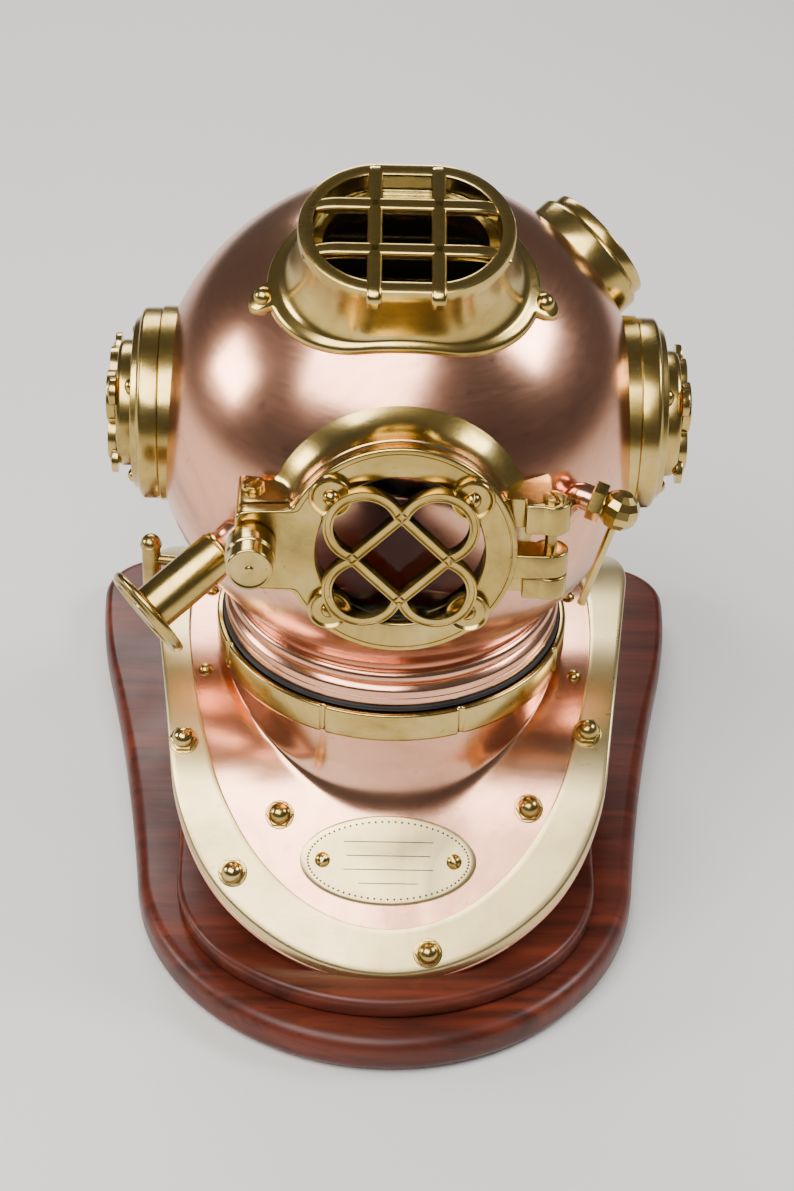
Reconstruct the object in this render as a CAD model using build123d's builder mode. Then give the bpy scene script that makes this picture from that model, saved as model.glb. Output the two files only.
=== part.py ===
from build123d import *
import os
from math import acos, asin, cos, hypot, radians, sin, sqrt, tan

os.makedirs("parts", exist_ok=True)

# Common clearances and cuts
cut_over = 20.0
free_gap = 0.3
fit_gap = 0.06
screw_gap = 0.1

# Shares of a screw head's radius, and of a guard's thickness
shank_share = 0.5
dome_share = 0.75
slot_share = 0.25
guard_ear_share = 0.8
top_ear_share = 1.3

# Bonnet, the copper head shell
bonnet_radius = 80.0
bonnet_wall = 2.0
neck_radius = 54.2
neck_height = 9.75
neck_blend = 8.0
neck_foot_radius = 57.0
neck_foot_height = 4.0
neck_bead_radius = 2.4

# Collar, neck ring and their interrupted thread
collar_radius = 60.0
collar_bore = 50.0
collar_height = 11.0
collar_chamfer = 1.2
collar_lift = 5.5
gasket_radius = 57.5
gasket_thick = 2.0
neck_ring_thick = 3.0
spigot_wall = 3.2
spigot_length = 10.4
lug_sectors = 4
lug_angle = 40.0
lug_reach = 3.0
lug_thick = 3.0
turn_angle = 45.0
notch_count = 8
notch_width = 1.6
notch_depth = 0.7

# Wood base, two tiers
board_thick = 14.4
board_round = 5.0
plinth_thick = 8.0
plinth_round = 2.0
board_front = 123.0
board_rear = 163.0
board_nose = (55.0, 103.0)
board_cheek = (87.0, 43.0)
board_waist = (96.0, 23.0)
board_hip = (106.0, 75.0)
board_lobe = (112.0, 125.0)
board_corner = (98.0, 146.0)
plinth_front = 112.0
plinth_rear = 136.0
plinth_nose = (50.0, 95.0)
plinth_cheek = (72.5, 50.0)
plinth_side = (79.0, 38.0)
plinth_hip = (60.0, 110.0)

# Breastplate saddle and its band
copper_wall = 2.0
band_thick = 2.5
crest_height = 65.0
saddle_sink = 1.66
saddle_slope = 45.0
saddle_front = 5.0
saddle_back = 19.0
plate_front = 101.0
plate_rear = 125.0
plate_nose = (52.0, 85.0)
plate_cheek = (73.5, 50.0)
plate_side = (85.0, 38.0)
plate_hip = (64.0, 101.0)
inner_front = 90.0
inner_rear = 113.5
inner_nose = (44.0, 73.0)
inner_cheek = (60.0, 48.0)
inner_side = (69.0, 38.0)
inner_hip = (46.0, 95.0)
flare_radius = 57.0
flare_sweep = 62.0

# Cap bolts of the band and the plate
nut_width = 8.0
nut_hex_height = 2.4
nut_dome_radius = 3.3
nut_dome_foot = 3.0
bolt_radius = 2.0
bolt_length = 8.0
band_bolt_places = [
    (-69.5, -42.1), (-51.8, -75.9), (13.6, -94.0), (66.7, -37.4), (-64.0, 76.0), (64.0, 76.0), (0.0, 116.0),
]
plate_bolt_places = [(-36.6, -61.9), (46.9, -59.2)]

# Small round-headed screws beside the collar
collar_screw_radius = 2.6
collar_screw_places = [(-63.5, -14.0), (63.5, -14.0), (-63.5, 30.0), (63.5, 30.0)]

# Name plate, left blank
plate_width = 59.0
plate_length = 30.0
plate_thick = 1.2
plate_place = -72.5
plate_screw_offset = 22.0

# The module, an eightieth of the bonnet's radius, in which its ports and fittings are counted
module_share = 0.0125
module = module_share * bonnet_radius

# Front window, door and hinge
front_tilt = 5.0
front_base_radius = 41.0 * module
front_radius = 35.3 * module
front_ring_face = 80.5 * module
front_seal_thick = 0.8 * module
door_thick = 4.7 * module
front_window_radius = 25.4 * module
front_glass_radius = 28.0 * module
front_glass_thick = 2.0 * module
front_lip = 1.7 * module
blend_radius = 7.0 * module
clamp_offset = 44.6 * module
clamp_ear_reach = 49.5 * module
clamp_ear_top = 13.5 * module
clamp_ear_bottom = 14.0 * module
clamp_height = 2.5 * module
clamp_lug_depth = 20.5 * module
clamp_pin_radius = 2.0 * module
clamp_pin_head_radius = 3.4 * module
clamp_pin_head_height = 1.0 * module
clamp_pin_back = 9.0 * module
clamp_pin_length = 11.0 * module
clamp_shank_radius = 2.5 * module
clamp_shank_length = 7.0 * module
clamp_socket_gap = 1.0 * module
washer_radius = 6.2 * module
washer_thick = 1.2 * module
knob_radius = 7.5 * module
knob_tip_radius = 6.9 * module
knob_band = 8.5 * module
knob_tip = 6.5 * module
clamp_pitch = 2.0 * module
hinge_offset = 45.5 * module
hinge_back = 1.3 * module
knuckle_radius = 5.5 * module
hinge_pin_radius = 2.0 * module
hinge_pin_head_radius = 3.2 * module
top_lug_span = (6.2 * module, 16.0 * module)
door_knuckle_span = (-8.6 * module, -0.7 * module)
low_lug_span = (-16.2 * module, -9.0 * module)
lug_root = 30.0 * module

# Clover grille over the front window
clover_offset = 11.0 * module
clover_radius = 12.4 * module
clover_hole = 9.2 * module
clover_bar = 3.2 * module
clover_ear_offset = (21.0 * module, 19.5 * module)
clover_ear_radius = 5.8 * module
clover_ear_thick = 2.6 * module
clover_rise = 1.4 * module
clover_thick = 3.6 * module
clover_screw_radius = 2.6 * module

# Side windows
side_rise = 4.0 * module
side_seat_radius = 31.6 * module
side_seat_face = 76.6 * module
side_flange_radius = 31.0 * module
side_flange_face = 83.0 * module
side_step_radius = 27.0 * module
side_step_height = 2.4 * module
side_bore = 17.5 * module
side_glass_radius = 20.0 * module
side_glass_thick = 2.5 * module
side_seal_thick = 1.2 * module
side_bezel_radius = 20.5 * module
side_bezel_bore = 15.5 * module
side_bezel_height = 5.0 * module
side_screw_circle = 24.0 * module
side_screw_count = 4
side_screw_turn = 45.0
side_guard_share = 0.66
side_guard_thick = 2.6 * module

# Top light
top_tilt = 22.0
top_length = 65.0 * module
top_width = 49.0 * module
top_face = 98.0 * module
top_wall = 4.5 * module
top_flange_length = 84.0 * module
top_flange_width = 64.0 * module
top_flange_thick = 2.2 * module
top_flare_length = 77.0 * module
top_flare_width = 60.0 * module
top_flare_low = 80.0 * module
top_flare_high = 90.0 * module
top_glass_thick = 2.5 * module
top_glass_depth = 9.0 * module
top_ledge = 3.0 * module
bar_width = 4.6 * module
bar_thick = 3.4 * module
bar_spacing = 19.0 * module
rung_spacing = 17.0 * module
bar_drop = 5.0 * module
top_screw_radius = 3.0 * module
top_ear_offset = (43.0 * module, 5.0 * module)

# Exhaust cover at the upper right
exhaust_direction = (0.74, 0.45, 0.50)
exhaust_radius = 22.0 * module
exhaust_bore = 14.0 * module
exhaust_face = 85.0 * module
exhaust_cap_radius = 20.0 * module
exhaust_cap_thick = 4.2 * module
exhaust_ear_reach = 23.5 * module
exhaust_ear_radius = 3.6 * module
exhaust_screw_radius = 2.2 * module
exhaust_screw_length = 6.3 * module

# Regulating valve at the lower left, with its flanged wheel
regulator_root = (-54.4, -62.5, -9.1)
regulator_direction = (-0.741, -0.494, -0.455)
regulator_socket_radius = 6.2 * module
regulator_tube_radius = 7.4 * module
regulator_tube_length = 29.0 * module
wheel_radius = 15.6 * module
wheel_thick = 2.0 * module
wheel_lip = 1.2 * module
wheel_lip_width = 2.2 * module
stem_radius = 3.0 * module
stem_length = 12.0 * module

# Spit cock at the right
cock_entry = (50.0, -56.0, 9.5)
cock_bend = (54.5, -61.5, 13.5)
cock_direction = (0.93, -0.30, -0.22)
cock_pipe_radius = 3.8 * module
cock_pipe_run = 4.0 * module
cock_nut_width = 10.6 * module
cock_nut_length = 4.4 * module
cock_body_radius = 6.4 * module
cock_seat_share = 0.62
lever_seat_share = 0.65
cock_stem_radius = 2.4 * module
lever_direction = (-0.27, -0.08, -0.96)
lever_radius = 1.3 * module
lever_length = 31.0 * module

# Inlet post at the lower left rear
inlet_place = (-83.0 * module, 10.0 * module)
inlet_pipe_height = 6.0 * module
inlet_pipe_radius = 2.0 * module
inlet_post_radius = 3.2 * module
inlet_post_bottom = -6.0 * module
inlet_post_top = 11.5 * module
inlet_cap_lip = 0.5 * module
inlet_cap_height = 4.4 * module

# Heights, stacked from the wood base up to the bonnet's middle
board_top = board_thick + plinth_thick
crest_level = board_top + crest_height - band_thick
collar_foot = crest_level + collar_lift
collar_top = collar_foot + collar_height
ring_low = collar_top + gasket_thick
ring_top = ring_low + neck_ring_thick
neck_turn = acos((neck_radius + neck_blend) / (bonnet_radius + neck_blend))
bonnet_height = ring_top + neck_height + (bonnet_radius + neck_blend) * sin(neck_turn)
centre = Vector(0, 0, bonnet_height)

# The arch's bend, which brings the plate's straight slope down to the plinth at its front edge
slope = radians(saddle_slope)
saddle_fall = crest_height - band_thick + saddle_sink
saddle_radius = ((plate_front + saddle_front) * tan(slope) - saddle_fall) / (1 / cos(slope) - 1)

pieces = []


def keep(builder, name):
    """Label a finished piece and queue it for export."""
    builder.part.label = name
    pieces.append((builder.part, name))


def smooth_outline(stops):
    """A closed face: tangent arcs through the stops of its right half, mirrored to the left."""
    with BuildSketch() as outline:
        with BuildLine():
            tangent = (1, 0)
            for start, end in zip(stops, stops[1:]):
                stretch = TangentArc(start, end, tangent=tangent)
                tangent = stretch % 1
            mirror(about=Plane.YZ)
        make_face()
    return outline.sketch


def closed_outline(front, nose, cheek, side, hip, rear):
    """A rounded plan outline, given by its places from the front to the rear."""
    return smooth_outline([(0, -front), (nose[0], -nose[1]), (cheek[0], -cheek[1]), side, hip, (0, rear)])


def axis_plane(origin, direction, across=None):
    """A plane whose normal points along a direction, with X kept level where it can be."""
    return Plane(origin=origin, x_dir=across, z_dir=direction)


def dome_screw(head_radius, head_height, shank_radius, shank_length):
    """A round-headed screw: flat seat at zero, dome above, shank below."""
    ball = (head_radius**2 + head_height**2) / (head_height + head_height)
    with BuildPart() as screw:
        with BuildSketch(Plane.XZ):
            with BuildLine():
                Polyline((0, 0), (head_radius, 0))
                RadiusArc((head_radius, 0), (0, head_height), -ball)
                Line((0, head_height), (0, 0))
            make_face()
        revolve(axis=Axis.Z)
        with Locations((0, 0, -shank_length)):
            Cylinder(shank_radius, shank_length, align=(Align.CENTER, Align.CENTER, Align.MIN))
    return screw.part


def slotted_screw(head_radius, head_height, shank_radius, shank_length):
    """A cheese-headed screw with one driver slot."""
    with BuildPart() as screw:
        Cylinder(head_radius, head_height, align=(Align.CENTER, Align.CENTER, Align.MIN))
        chamfer(screw.faces().sort_by(Axis.Z)[-1].edges(), head_height / 4)
        with Locations((0, 0, head_height)):
            Box(3 * head_radius, slot_share * head_radius, head_height, mode=Mode.SUBTRACT)
        with Locations((0, 0, -shank_length)):
            Cylinder(shank_radius, shank_length, align=(Align.CENTER, Align.CENTER, Align.MIN))
    return screw.part


def thread_lugs(inner, outer):
    """The plan of an interrupted thread: equal ring sectors with gaps between them."""
    with BuildSketch() as wedge:
        with BuildLine():
            sweep_in = CenterArc((0, 0), inner, -lug_angle / 2, lug_angle)
            sweep_out = CenterArc((0, 0), outer, -lug_angle / 2, lug_angle)
            Line(sweep_in @ 0, sweep_out @ 0)
            Line(sweep_in @ 1, sweep_out @ 1)
        make_face()
    with BuildSketch() as lugs:
        with PolarLocations(0, lug_sectors):
            add(wedge.sketch)
    return lugs.sketch


def cap_bolt():
    """A hexagon with a domed cap on it, and the bolt's shank below."""
    with BuildPart() as bolt:
        with BuildSketch():
            RegularPolygon(nut_width / 2, 6, major_radius=False)
        extrude(amount=nut_hex_height)
        with BuildSketch(Plane.XZ):
            with BuildLine():
                Polyline((0, 0), (nut_dome_radius, 0), (nut_dome_radius, nut_dome_foot))
                CenterArc((0, nut_dome_foot), nut_dome_radius, 0, 90)
                Line((0, nut_dome_foot + nut_dome_radius), (0, 0))
            make_face()
        revolve(axis=Axis.Z)
        with Locations((0, 0, -bolt_length)):
            Cylinder(bolt_radius, bolt_length, align=(Align.CENTER, Align.CENTER, Align.MIN))
    return bolt.part


def saddle_profile(lift):
    """The region under the saddle's arch, drawn across Y and Z, grown outward by lift."""
    run = saddle_radius + lift
    level = crest_level + lift
    drop = run * (1 - cos(slope))
    reach = run * sin(slope)
    far = level - drop + cut_over
    with BuildSketch() as region:
        with BuildLine():
            crest = Line((saddle_front, level), (saddle_back, level))
            back = RadiusArc(crest @ 1, (saddle_back + reach, level - drop), run)
            foot = Line(back @ 1, (saddle_back + reach + far, -cut_over))
            floor = Line(foot @ 1, (saddle_front - reach - far, -cut_over))
            rise = Line(floor @ 1, (saddle_front - reach, level - drop))
            RadiusArc(rise @ 1, crest @ 0, run)
        make_face()
    return region.sketch


def saddle_point(x, y, lift):
    """Where the saddle's surface, grown by lift, stands over a plan place, and its normal."""
    over = max(saddle_front - y, y - saddle_back, 0)
    side = -1 if y < saddle_front else 1
    run = saddle_radius + lift
    level = crest_level + lift
    angle = min(asin(min(over / run, 1)), slope)
    past = max(over - run * sin(slope), 0)
    height = level - run * (1 - cos(angle)) - past
    return Plane(origin=(x, y, height), x_dir=(1, 0, 0), z_dir=(0, side * sin(angle), cos(angle)))


with BuildPart() as bonnet_ball:
    with Locations(centre):
        Sphere(bonnet_radius, rotation=(0, 0, 90))

# Wood base
with BuildPart() as base_board:
    with BuildSketch():
        add(smooth_outline([
            (0, -board_front), (board_nose[0], -board_nose[1]), (board_cheek[0], -board_cheek[1]),
            board_waist, board_hip, board_lobe, board_corner, (0, board_rear),
        ]))
    extrude(amount=board_thick)
    fillet(base_board.faces().sort_by(Axis.Z)[-1].edges(), board_round)
keep(base_board, "base_board")

with BuildPart() as plinth_board:
    with BuildSketch(Plane.XY.offset(board_thick)):
        add(closed_outline(plinth_front, plinth_nose, plinth_cheek, plinth_side, plinth_hip, plinth_rear))
    extrude(amount=plinth_thick)
    fillet(plinth_board.faces().sort_by(Axis.Z)[-1].edges(), plinth_round)
keep(plinth_board, "plinth_board")

# Breastplate and its band
small_hole = shank_share * collar_screw_radius + screw_gap
flare_centre = (flare_radius + flare_sweep, collar_foot)
flare_low = collar_foot - flare_sweep * sin(slope)


def flare_region(inset, top, bottom):
    """The region inside the neck's flared wall, from the collar down past the flare's end."""
    sweep = flare_sweep + inset
    narrow = flare_radius - inset
    low = collar_foot - sweep * sin(slope)
    wide = flare_centre[0] - sweep * cos(slope)
    with BuildSketch() as region:
        with BuildLine():
            Polyline((0, bottom), (0, top), (narrow, top))
            if top > collar_foot:
                Line((narrow, top), (narrow, collar_foot))
            RadiusArc((narrow, collar_foot), (wide, low), -sweep)
            if bottom < low:
                Line((wide, low), (wide, bottom))
            Line((wide, bottom), (0, bottom))
        make_face()
    return region.sketch


with BuildPart() as breastplate:
    with BuildSketch(Plane.YZ):
        add(saddle_profile(0))
    extrude(amount=board_front, both=True)
    with BuildSketch(Plane.XY.offset(board_top)):
        add(closed_outline(plate_front, plate_nose, plate_cheek, plate_side, plate_hip, plate_rear))
    extrude(amount=bonnet_height, mode=Mode.INTERSECT)
    with BuildSketch(Plane.XZ):
        add(flare_region(0, collar_foot, flare_low))
    revolve(axis=Axis.Z)
    with BuildSketch(Plane.YZ):
        add(saddle_profile(-copper_wall))
    extrude(amount=board_front, both=True, mode=Mode.SUBTRACT)
    with BuildSketch(Plane.XZ):
        add(flare_region(copper_wall, collar_foot + cut_over, board_top))
    revolve(axis=Axis.Z, mode=Mode.SUBTRACT)
    with Locations(*[saddle_point(x, y, 0) for x, y in band_bolt_places + plate_bolt_places]):
        Cylinder(bolt_radius + screw_gap, bolt_length * 2, mode=Mode.SUBTRACT)
    with Locations(*[saddle_point(x, y, 0) for x, y in collar_screw_places]):
        Cylinder(small_hole, bolt_length, mode=Mode.SUBTRACT)
    plate_plane = saddle_point(0, plate_place, 0)
    with Locations(plate_plane):
        with Locations((-plate_screw_offset, 0, 0), (plate_screw_offset, 0, 0)):
            Cylinder(small_hole, bolt_length, mode=Mode.SUBTRACT)
keep(breastplate, "breastplate")

with BuildPart() as brail_band:
    with BuildSketch(Plane.YZ):
        add(saddle_profile(band_thick))
    extrude(amount=board_front, both=True)
    with BuildSketch(Plane.YZ):
        add(saddle_profile(0))
    extrude(amount=board_front, both=True, mode=Mode.SUBTRACT)
    with BuildSketch(Plane.XY.offset(board_top)):
        add(closed_outline(plate_front, plate_nose, plate_cheek, plate_side, plate_hip, plate_rear))
    extrude(amount=bonnet_height, mode=Mode.INTERSECT)
    with BuildSketch(Plane.XY.offset(board_top)):
        add(closed_outline(inner_front, inner_nose, inner_cheek, inner_side, inner_hip, inner_rear))
    extrude(amount=bonnet_height, mode=Mode.SUBTRACT)
    with Locations(*[saddle_point(x, y, 0) for x, y in band_bolt_places]):
        Cylinder(bolt_radius + screw_gap, bolt_length * 2, mode=Mode.SUBTRACT)
keep(brail_band, "brail_band")

cap = cap_bolt()
with BuildPart() as band_cap_bolts:
    with Locations(*[saddle_point(x, y, 0).offset(band_thick) for x, y in band_bolt_places]):
        add(cap)
keep(band_cap_bolts, "band_cap_bolts")

with BuildPart() as plate_cap_bolts:
    with Locations(*[saddle_point(x, y, 0) for x, y in plate_bolt_places]):
        add(cap)
keep(plate_cap_bolts, "plate_cap_bolts")

small_screw = dome_screw(
    collar_screw_radius, dome_share * collar_screw_radius, shank_share * collar_screw_radius, 2 * copper_wall,
)
with BuildPart() as collar_screws:
    with Locations(*[saddle_point(x, y, 0) for x, y in collar_screw_places]):
        add(small_screw)
keep(collar_screws, "collar_screws")

with BuildPart() as nameplate:
    with BuildSketch(Plane.YZ):
        add(saddle_profile(plate_thick))
    extrude(amount=plate_width, both=True)
    with BuildSketch(Plane.XZ):
        add(flare_region(-plate_thick, collar_foot, flare_low))
    revolve(axis=Axis.Z)
    with BuildSketch(plate_plane.offset(-cut_over)):
        Ellipse(plate_width / 2, plate_length / 2)
        with Locations((-plate_screw_offset, 0), (plate_screw_offset, 0)):
            Circle(small_hole, mode=Mode.SUBTRACT)
    extrude(amount=2 * cut_over, mode=Mode.INTERSECT)
    with BuildSketch(Plane.YZ):
        add(saddle_profile(0))
    extrude(amount=plate_width, both=True, mode=Mode.SUBTRACT)
    with BuildSketch(Plane.XZ):
        add(flare_region(0, collar_foot, flare_low))
    revolve(axis=Axis.Z, mode=Mode.SUBTRACT)
keep(nameplate, "nameplate")

with BuildPart() as nameplate_screws:
    with Locations(plate_plane.offset(plate_thick)):
        with Locations((-plate_screw_offset, 0, 0), (plate_screw_offset, 0, 0)):
            add(small_screw)
keep(nameplate_screws, "nameplate_screws")

# Collar with the inner half of the interrupted thread
lug_top = collar_foot + lug_thick + free_gap + lug_thick
with BuildPart() as collar:
    with BuildSketch(Plane.XZ):
        with BuildLine():
            Polyline(
                (collar_bore, collar_foot), (collar_radius - collar_chamfer, collar_foot),
                (collar_radius, collar_foot + collar_chamfer), (collar_radius, collar_top - collar_chamfer),
                (collar_radius - collar_chamfer, collar_top), (collar_bore, collar_top),
                (collar_bore, collar_foot),
            )
        make_face()
    revolve(axis=Axis.Z)
    with BuildSketch(Plane.XY.offset(lug_top - lug_thick)):
        add(thread_lugs(collar_bore - lug_reach, collar_bore + lug_reach))
    extrude(amount=lug_thick)
    with PolarLocations(collar_radius, notch_count, start_angle=turn_angle / 2):
        with Locations((0, 0, collar_top - collar_height / 2)):
            Box(notch_depth * 2, notch_width, collar_height * 2, mode=Mode.SUBTRACT)
keep(collar, "collar")

with BuildPart() as neck_gasket:
    with BuildSketch(Plane.XY.offset(collar_top)):
        Circle(gasket_radius)
        Circle(collar_bore + free_gap, mode=Mode.SUBTRACT)
    extrude(amount=gasket_thick)
keep(neck_gasket, "neck_gasket")

# Neck ring under the bonnet with the outer half of the interrupted thread
spigot_radius = collar_bore - lug_reach - free_gap
spigot_low = ring_low - gasket_thick - spigot_length
with BuildPart() as bonnet_neck_ring:
    with BuildSketch(Plane.XY.offset(ring_low)):
        Circle(neck_foot_radius)
    extrude(amount=neck_ring_thick)
    with BuildSketch(Plane.XY.offset(ring_low)):
        Circle(spigot_radius)
    extrude(amount=spigot_low - ring_low)
    with BuildSketch(Plane.XY.offset(lug_top - lug_thick - free_gap)):
        add(thread_lugs(spigot_radius - spigot_wall / 2, collar_bore - free_gap))
    extrude(amount=-(lug_thick - free_gap))
    with BuildSketch(Plane.XY.offset(spigot_low)):
        Circle(spigot_radius - spigot_wall)
    extrude(amount=ring_top - spigot_low, mode=Mode.SUBTRACT)
keep(bonnet_neck_ring, "bonnet_neck_ring")

# Working planes of the ports
front_plane = axis_plane(centre, (0, -cos(radians(front_tilt)), sin(radians(front_tilt))), (1, 0, 0))
side_centre = centre + Vector(0, 0, side_rise)
side_planes = {
    "left": axis_plane(side_centre, (-1, 0, 0), (0, -1, 0)),
    "right": axis_plane(side_centre, (1, 0, 0), (0, 1, 0)),
}
top_plane = axis_plane(centre, (0, -sin(radians(top_tilt)), cos(radians(top_tilt))), (1, 0, 0))
exhaust_plane = axis_plane(centre, exhaust_direction)
regulator_start = centre + Vector(*regulator_root) * module
regulator_plane = axis_plane(regulator_start, regulator_direction)
cock_start = centre + Vector(*cock_bend) * module
cock_plane = axis_plane(cock_start, cock_direction)
top_bore_length = top_length - 2 * top_wall
top_bore_width = top_width - 2 * top_wall

# Bonnet shell
sphere_low = (bonnet_radius * cos(neck_turn), bonnet_height - bonnet_radius * sin(neck_turn))
blend_end = (
    sphere_low[0] - neck_blend * (1 - cos(neck_turn)),
    sphere_low[1] - neck_blend * sin(neck_turn),
)
inner_radius = bonnet_radius - bonnet_wall
inner_low = (inner_radius * cos(neck_turn), bonnet_height - inner_radius * sin(neck_turn))
inner_end = (
    inner_low[0] - (neck_blend + bonnet_wall) * (1 - cos(neck_turn)),
    inner_low[1] - (neck_blend + bonnet_wall) * sin(neck_turn),
)
bead_height = blend_end[1] - neck_bead_radius
foot_top = ring_top + neck_foot_height
with BuildPart() as bonnet_shell:
    with BuildSketch(Plane.XZ):
        with BuildLine():
            RadiusArc((0, bonnet_height + bonnet_radius), sphere_low, bonnet_radius)
            RadiusArc(sphere_low, blend_end, -neck_blend)
            Polyline(
                blend_end, (blend_end[0], foot_top), (neck_foot_radius - neck_foot_height / 2, foot_top),
                (neck_foot_radius, foot_top - neck_foot_height / 2), (neck_foot_radius, ring_top),
                (inner_end[0], ring_top), inner_end,
            )
            RadiusArc(inner_end, inner_low, neck_blend + bonnet_wall)
            RadiusArc(inner_low, (0, bonnet_height + inner_radius), -inner_radius)
            Line((0, bonnet_height + inner_radius), (0, bonnet_height + bonnet_radius))
        make_face()
    revolve(axis=Axis.Z)
    with Locations((0, 0, bead_height)):
        Torus(blend_end[0], neck_bead_radius)
        Cylinder(blend_end[0] - bonnet_wall, 3 * neck_bead_radius, mode=Mode.SUBTRACT)
    for plane, radius in (
        (front_plane, front_window_radius), (side_planes["left"], side_bore),
        (side_planes["right"], side_bore), (exhaust_plane, exhaust_bore),
    ):
        with BuildSketch(plane):
            Circle(radius)
        extrude(amount=bonnet_radius + cut_over, mode=Mode.SUBTRACT)
    with BuildSketch(top_plane):
        SlotOverall(top_bore_length, top_bore_width)
    extrude(amount=bonnet_radius + cut_over, mode=Mode.SUBTRACT)
keep(bonnet_shell, "bonnet_shell")

# Front ring with its clamp lug and the two fixed hinge lugs
door_back = front_ring_face + front_seal_thick
door_face = door_back + door_thick
pin_depth = door_back - hinge_back
ring_base = sqrt(bonnet_radius**2 - front_base_radius**2) - free_gap
hinge_plane = Plane(origin=centre, x_dir=(1, 0, 0), z_dir=front_plane.y_dir)
clamp_mid = (clamp_ear_top - clamp_ear_bottom) / 2
clamp_tall = clamp_ear_top + clamp_ear_bottom


def ear_outline(radius):
    """A round plate with the clamp ear on its left, the corners between them blended."""
    with BuildSketch() as outline:
        Circle(radius)
        with Locations((-clamp_ear_reach / 2, clamp_mid)):
            Rectangle(clamp_ear_reach, clamp_tall)
        joints = outline.vertices().filter_by(lambda v: abs(hypot(v.X, v.Y) - radius) < free_gap)
        fillet(joints, blend_radius)
        tips = outline.vertices().sort_by(Axis.X)[:2]
        fillet(tips, blend_radius / 5)
    return outline.sketch


def knuckle(span, reach, back, front):
    """One hinge knuckle: a round eye on the pin's axis with a web back to its plate."""
    with BuildPart() as eye:
        with BuildSketch(hinge_plane.offset(span[0])):
            with Locations((hinge_offset, -pin_depth)):
                Circle(knuckle_radius)
            with Locations(((hinge_offset + reach) / 2, -(back + front) / 2)):
                Rectangle(hinge_offset - reach, front - back)
        extrude(amount=span[1] - span[0])
    return eye.part


with BuildPart() as front_ring:
    with Locations(front_plane.offset(ring_base)):
        Cone(
            front_base_radius, front_radius, front_ring_face - ring_base,
            align=(Align.CENTER, Align.CENTER, Align.MIN),
        )
    with BuildSketch(front_plane.offset(front_ring_face - clamp_lug_depth)):
        add(ear_outline(front_radius))
        with Locations((front_radius / 2, 0)):
            Rectangle(front_radius * 3, front_radius * 2, mode=Mode.SUBTRACT)
    extrude(amount=clamp_lug_depth)
    for span in (top_lug_span, low_lug_span):
        add(knuckle(span, lug_root, ring_base + free_gap, front_ring_face - free_gap))
    with Locations(centre):
        Sphere(bonnet_radius, mode=Mode.SUBTRACT)
    with BuildSketch(front_plane):
        Circle(front_window_radius)
    extrude(amount=bonnet_radius + cut_over, mode=Mode.SUBTRACT)
    with Locations(hinge_plane):
        with Locations((hinge_offset, -pin_depth, 0)):
            Cylinder(hinge_pin_radius + fit_gap, 3 * clamp_tall, mode=Mode.SUBTRACT)
    with Locations(front_plane.offset(front_ring_face)):
        with Locations((-clamp_offset, clamp_height, 0)):
            Cylinder(
                clamp_shank_radius + clamp_socket_gap,
                2 * (clamp_shank_length + clamp_socket_gap - door_thick),
                mode=Mode.SUBTRACT,
            )
    with Locations(hinge_plane.offset(clamp_ear_top)):
        with Locations((-clamp_offset, -(front_ring_face - clamp_pin_back), 0)):
            Cylinder(clamp_pin_radius + fit_gap, clamp_tall, mode=Mode.SUBTRACT)
keep(front_ring, "front_ring")

with BuildPart() as faceplate_seal:
    with BuildSketch(front_plane.offset(front_ring_face)):
        Circle(front_radius - free_gap)
        Circle(front_window_radius + free_gap, mode=Mode.SUBTRACT)
    extrude(amount=front_seal_thick)
keep(faceplate_seal, "faceplate_seal")

pin_length = top_lug_span[1] - low_lug_span[0]
with BuildPart() as hinge_pin:
    with Locations(hinge_plane.offset(top_lug_span[1])):
        with Locations((hinge_offset, -pin_depth, 0)):
            add(slotted_screw(hinge_pin_head_radius, clamp_pin_head_height, hinge_pin_radius, pin_length))
keep(hinge_pin, "hinge_pin")

with BuildPart() as clamp_pin:
    with Locations(hinge_plane.offset(clamp_ear_top)):
        with Locations((-clamp_offset, -(front_ring_face - clamp_pin_back), 0)):
            add(slotted_screw(
                clamp_pin_head_radius, clamp_pin_head_height, clamp_pin_radius, clamp_pin_length,
            ))
keep(clamp_pin, "clamp_pin")

# Faceplate door
corners = [(i, j) for i in (-1, 1) for j in (-1, 1)]
with BuildPart() as faceplate:
    with BuildSketch(front_plane.offset(door_back)):
        add(ear_outline(front_radius))
    extrude(amount=door_thick)
    add(knuckle(door_knuckle_span, front_window_radius + clover_bar, door_back, door_face))
    with Locations(hinge_plane.offset(door_knuckle_span[0])):
        with Locations((hinge_offset, -pin_depth, 0)):
            Cylinder(hinge_pin_radius + fit_gap, 3 * clamp_tall, mode=Mode.SUBTRACT)
    with BuildSketch(front_plane.offset(door_back)):
        Circle(front_window_radius)
        with Locations((-clamp_offset, clamp_height)):
            Circle(clamp_shank_radius + fit_gap)
    extrude(amount=door_thick, mode=Mode.SUBTRACT)
    with BuildSketch(front_plane.offset(door_back)):
        Circle(front_glass_radius)
    extrude(amount=door_thick - front_lip, mode=Mode.SUBTRACT)
    with Locations(front_plane.offset(door_face)):
        with Locations(*[(i * clover_ear_offset[0], j * clover_ear_offset[1], 0) for i, j in corners]):
            Cylinder(shank_share * clover_screw_radius + screw_gap, front_lip, mode=Mode.SUBTRACT)
keep(faceplate, "faceplate")

with BuildPart() as faceplate_glass:
    with BuildSketch(front_plane.offset(door_face - front_lip - front_glass_thick)):
        Circle(front_glass_radius - free_gap)
    extrude(amount=front_glass_thick)
keep(faceplate_glass, "faceplate_glass")

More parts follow.
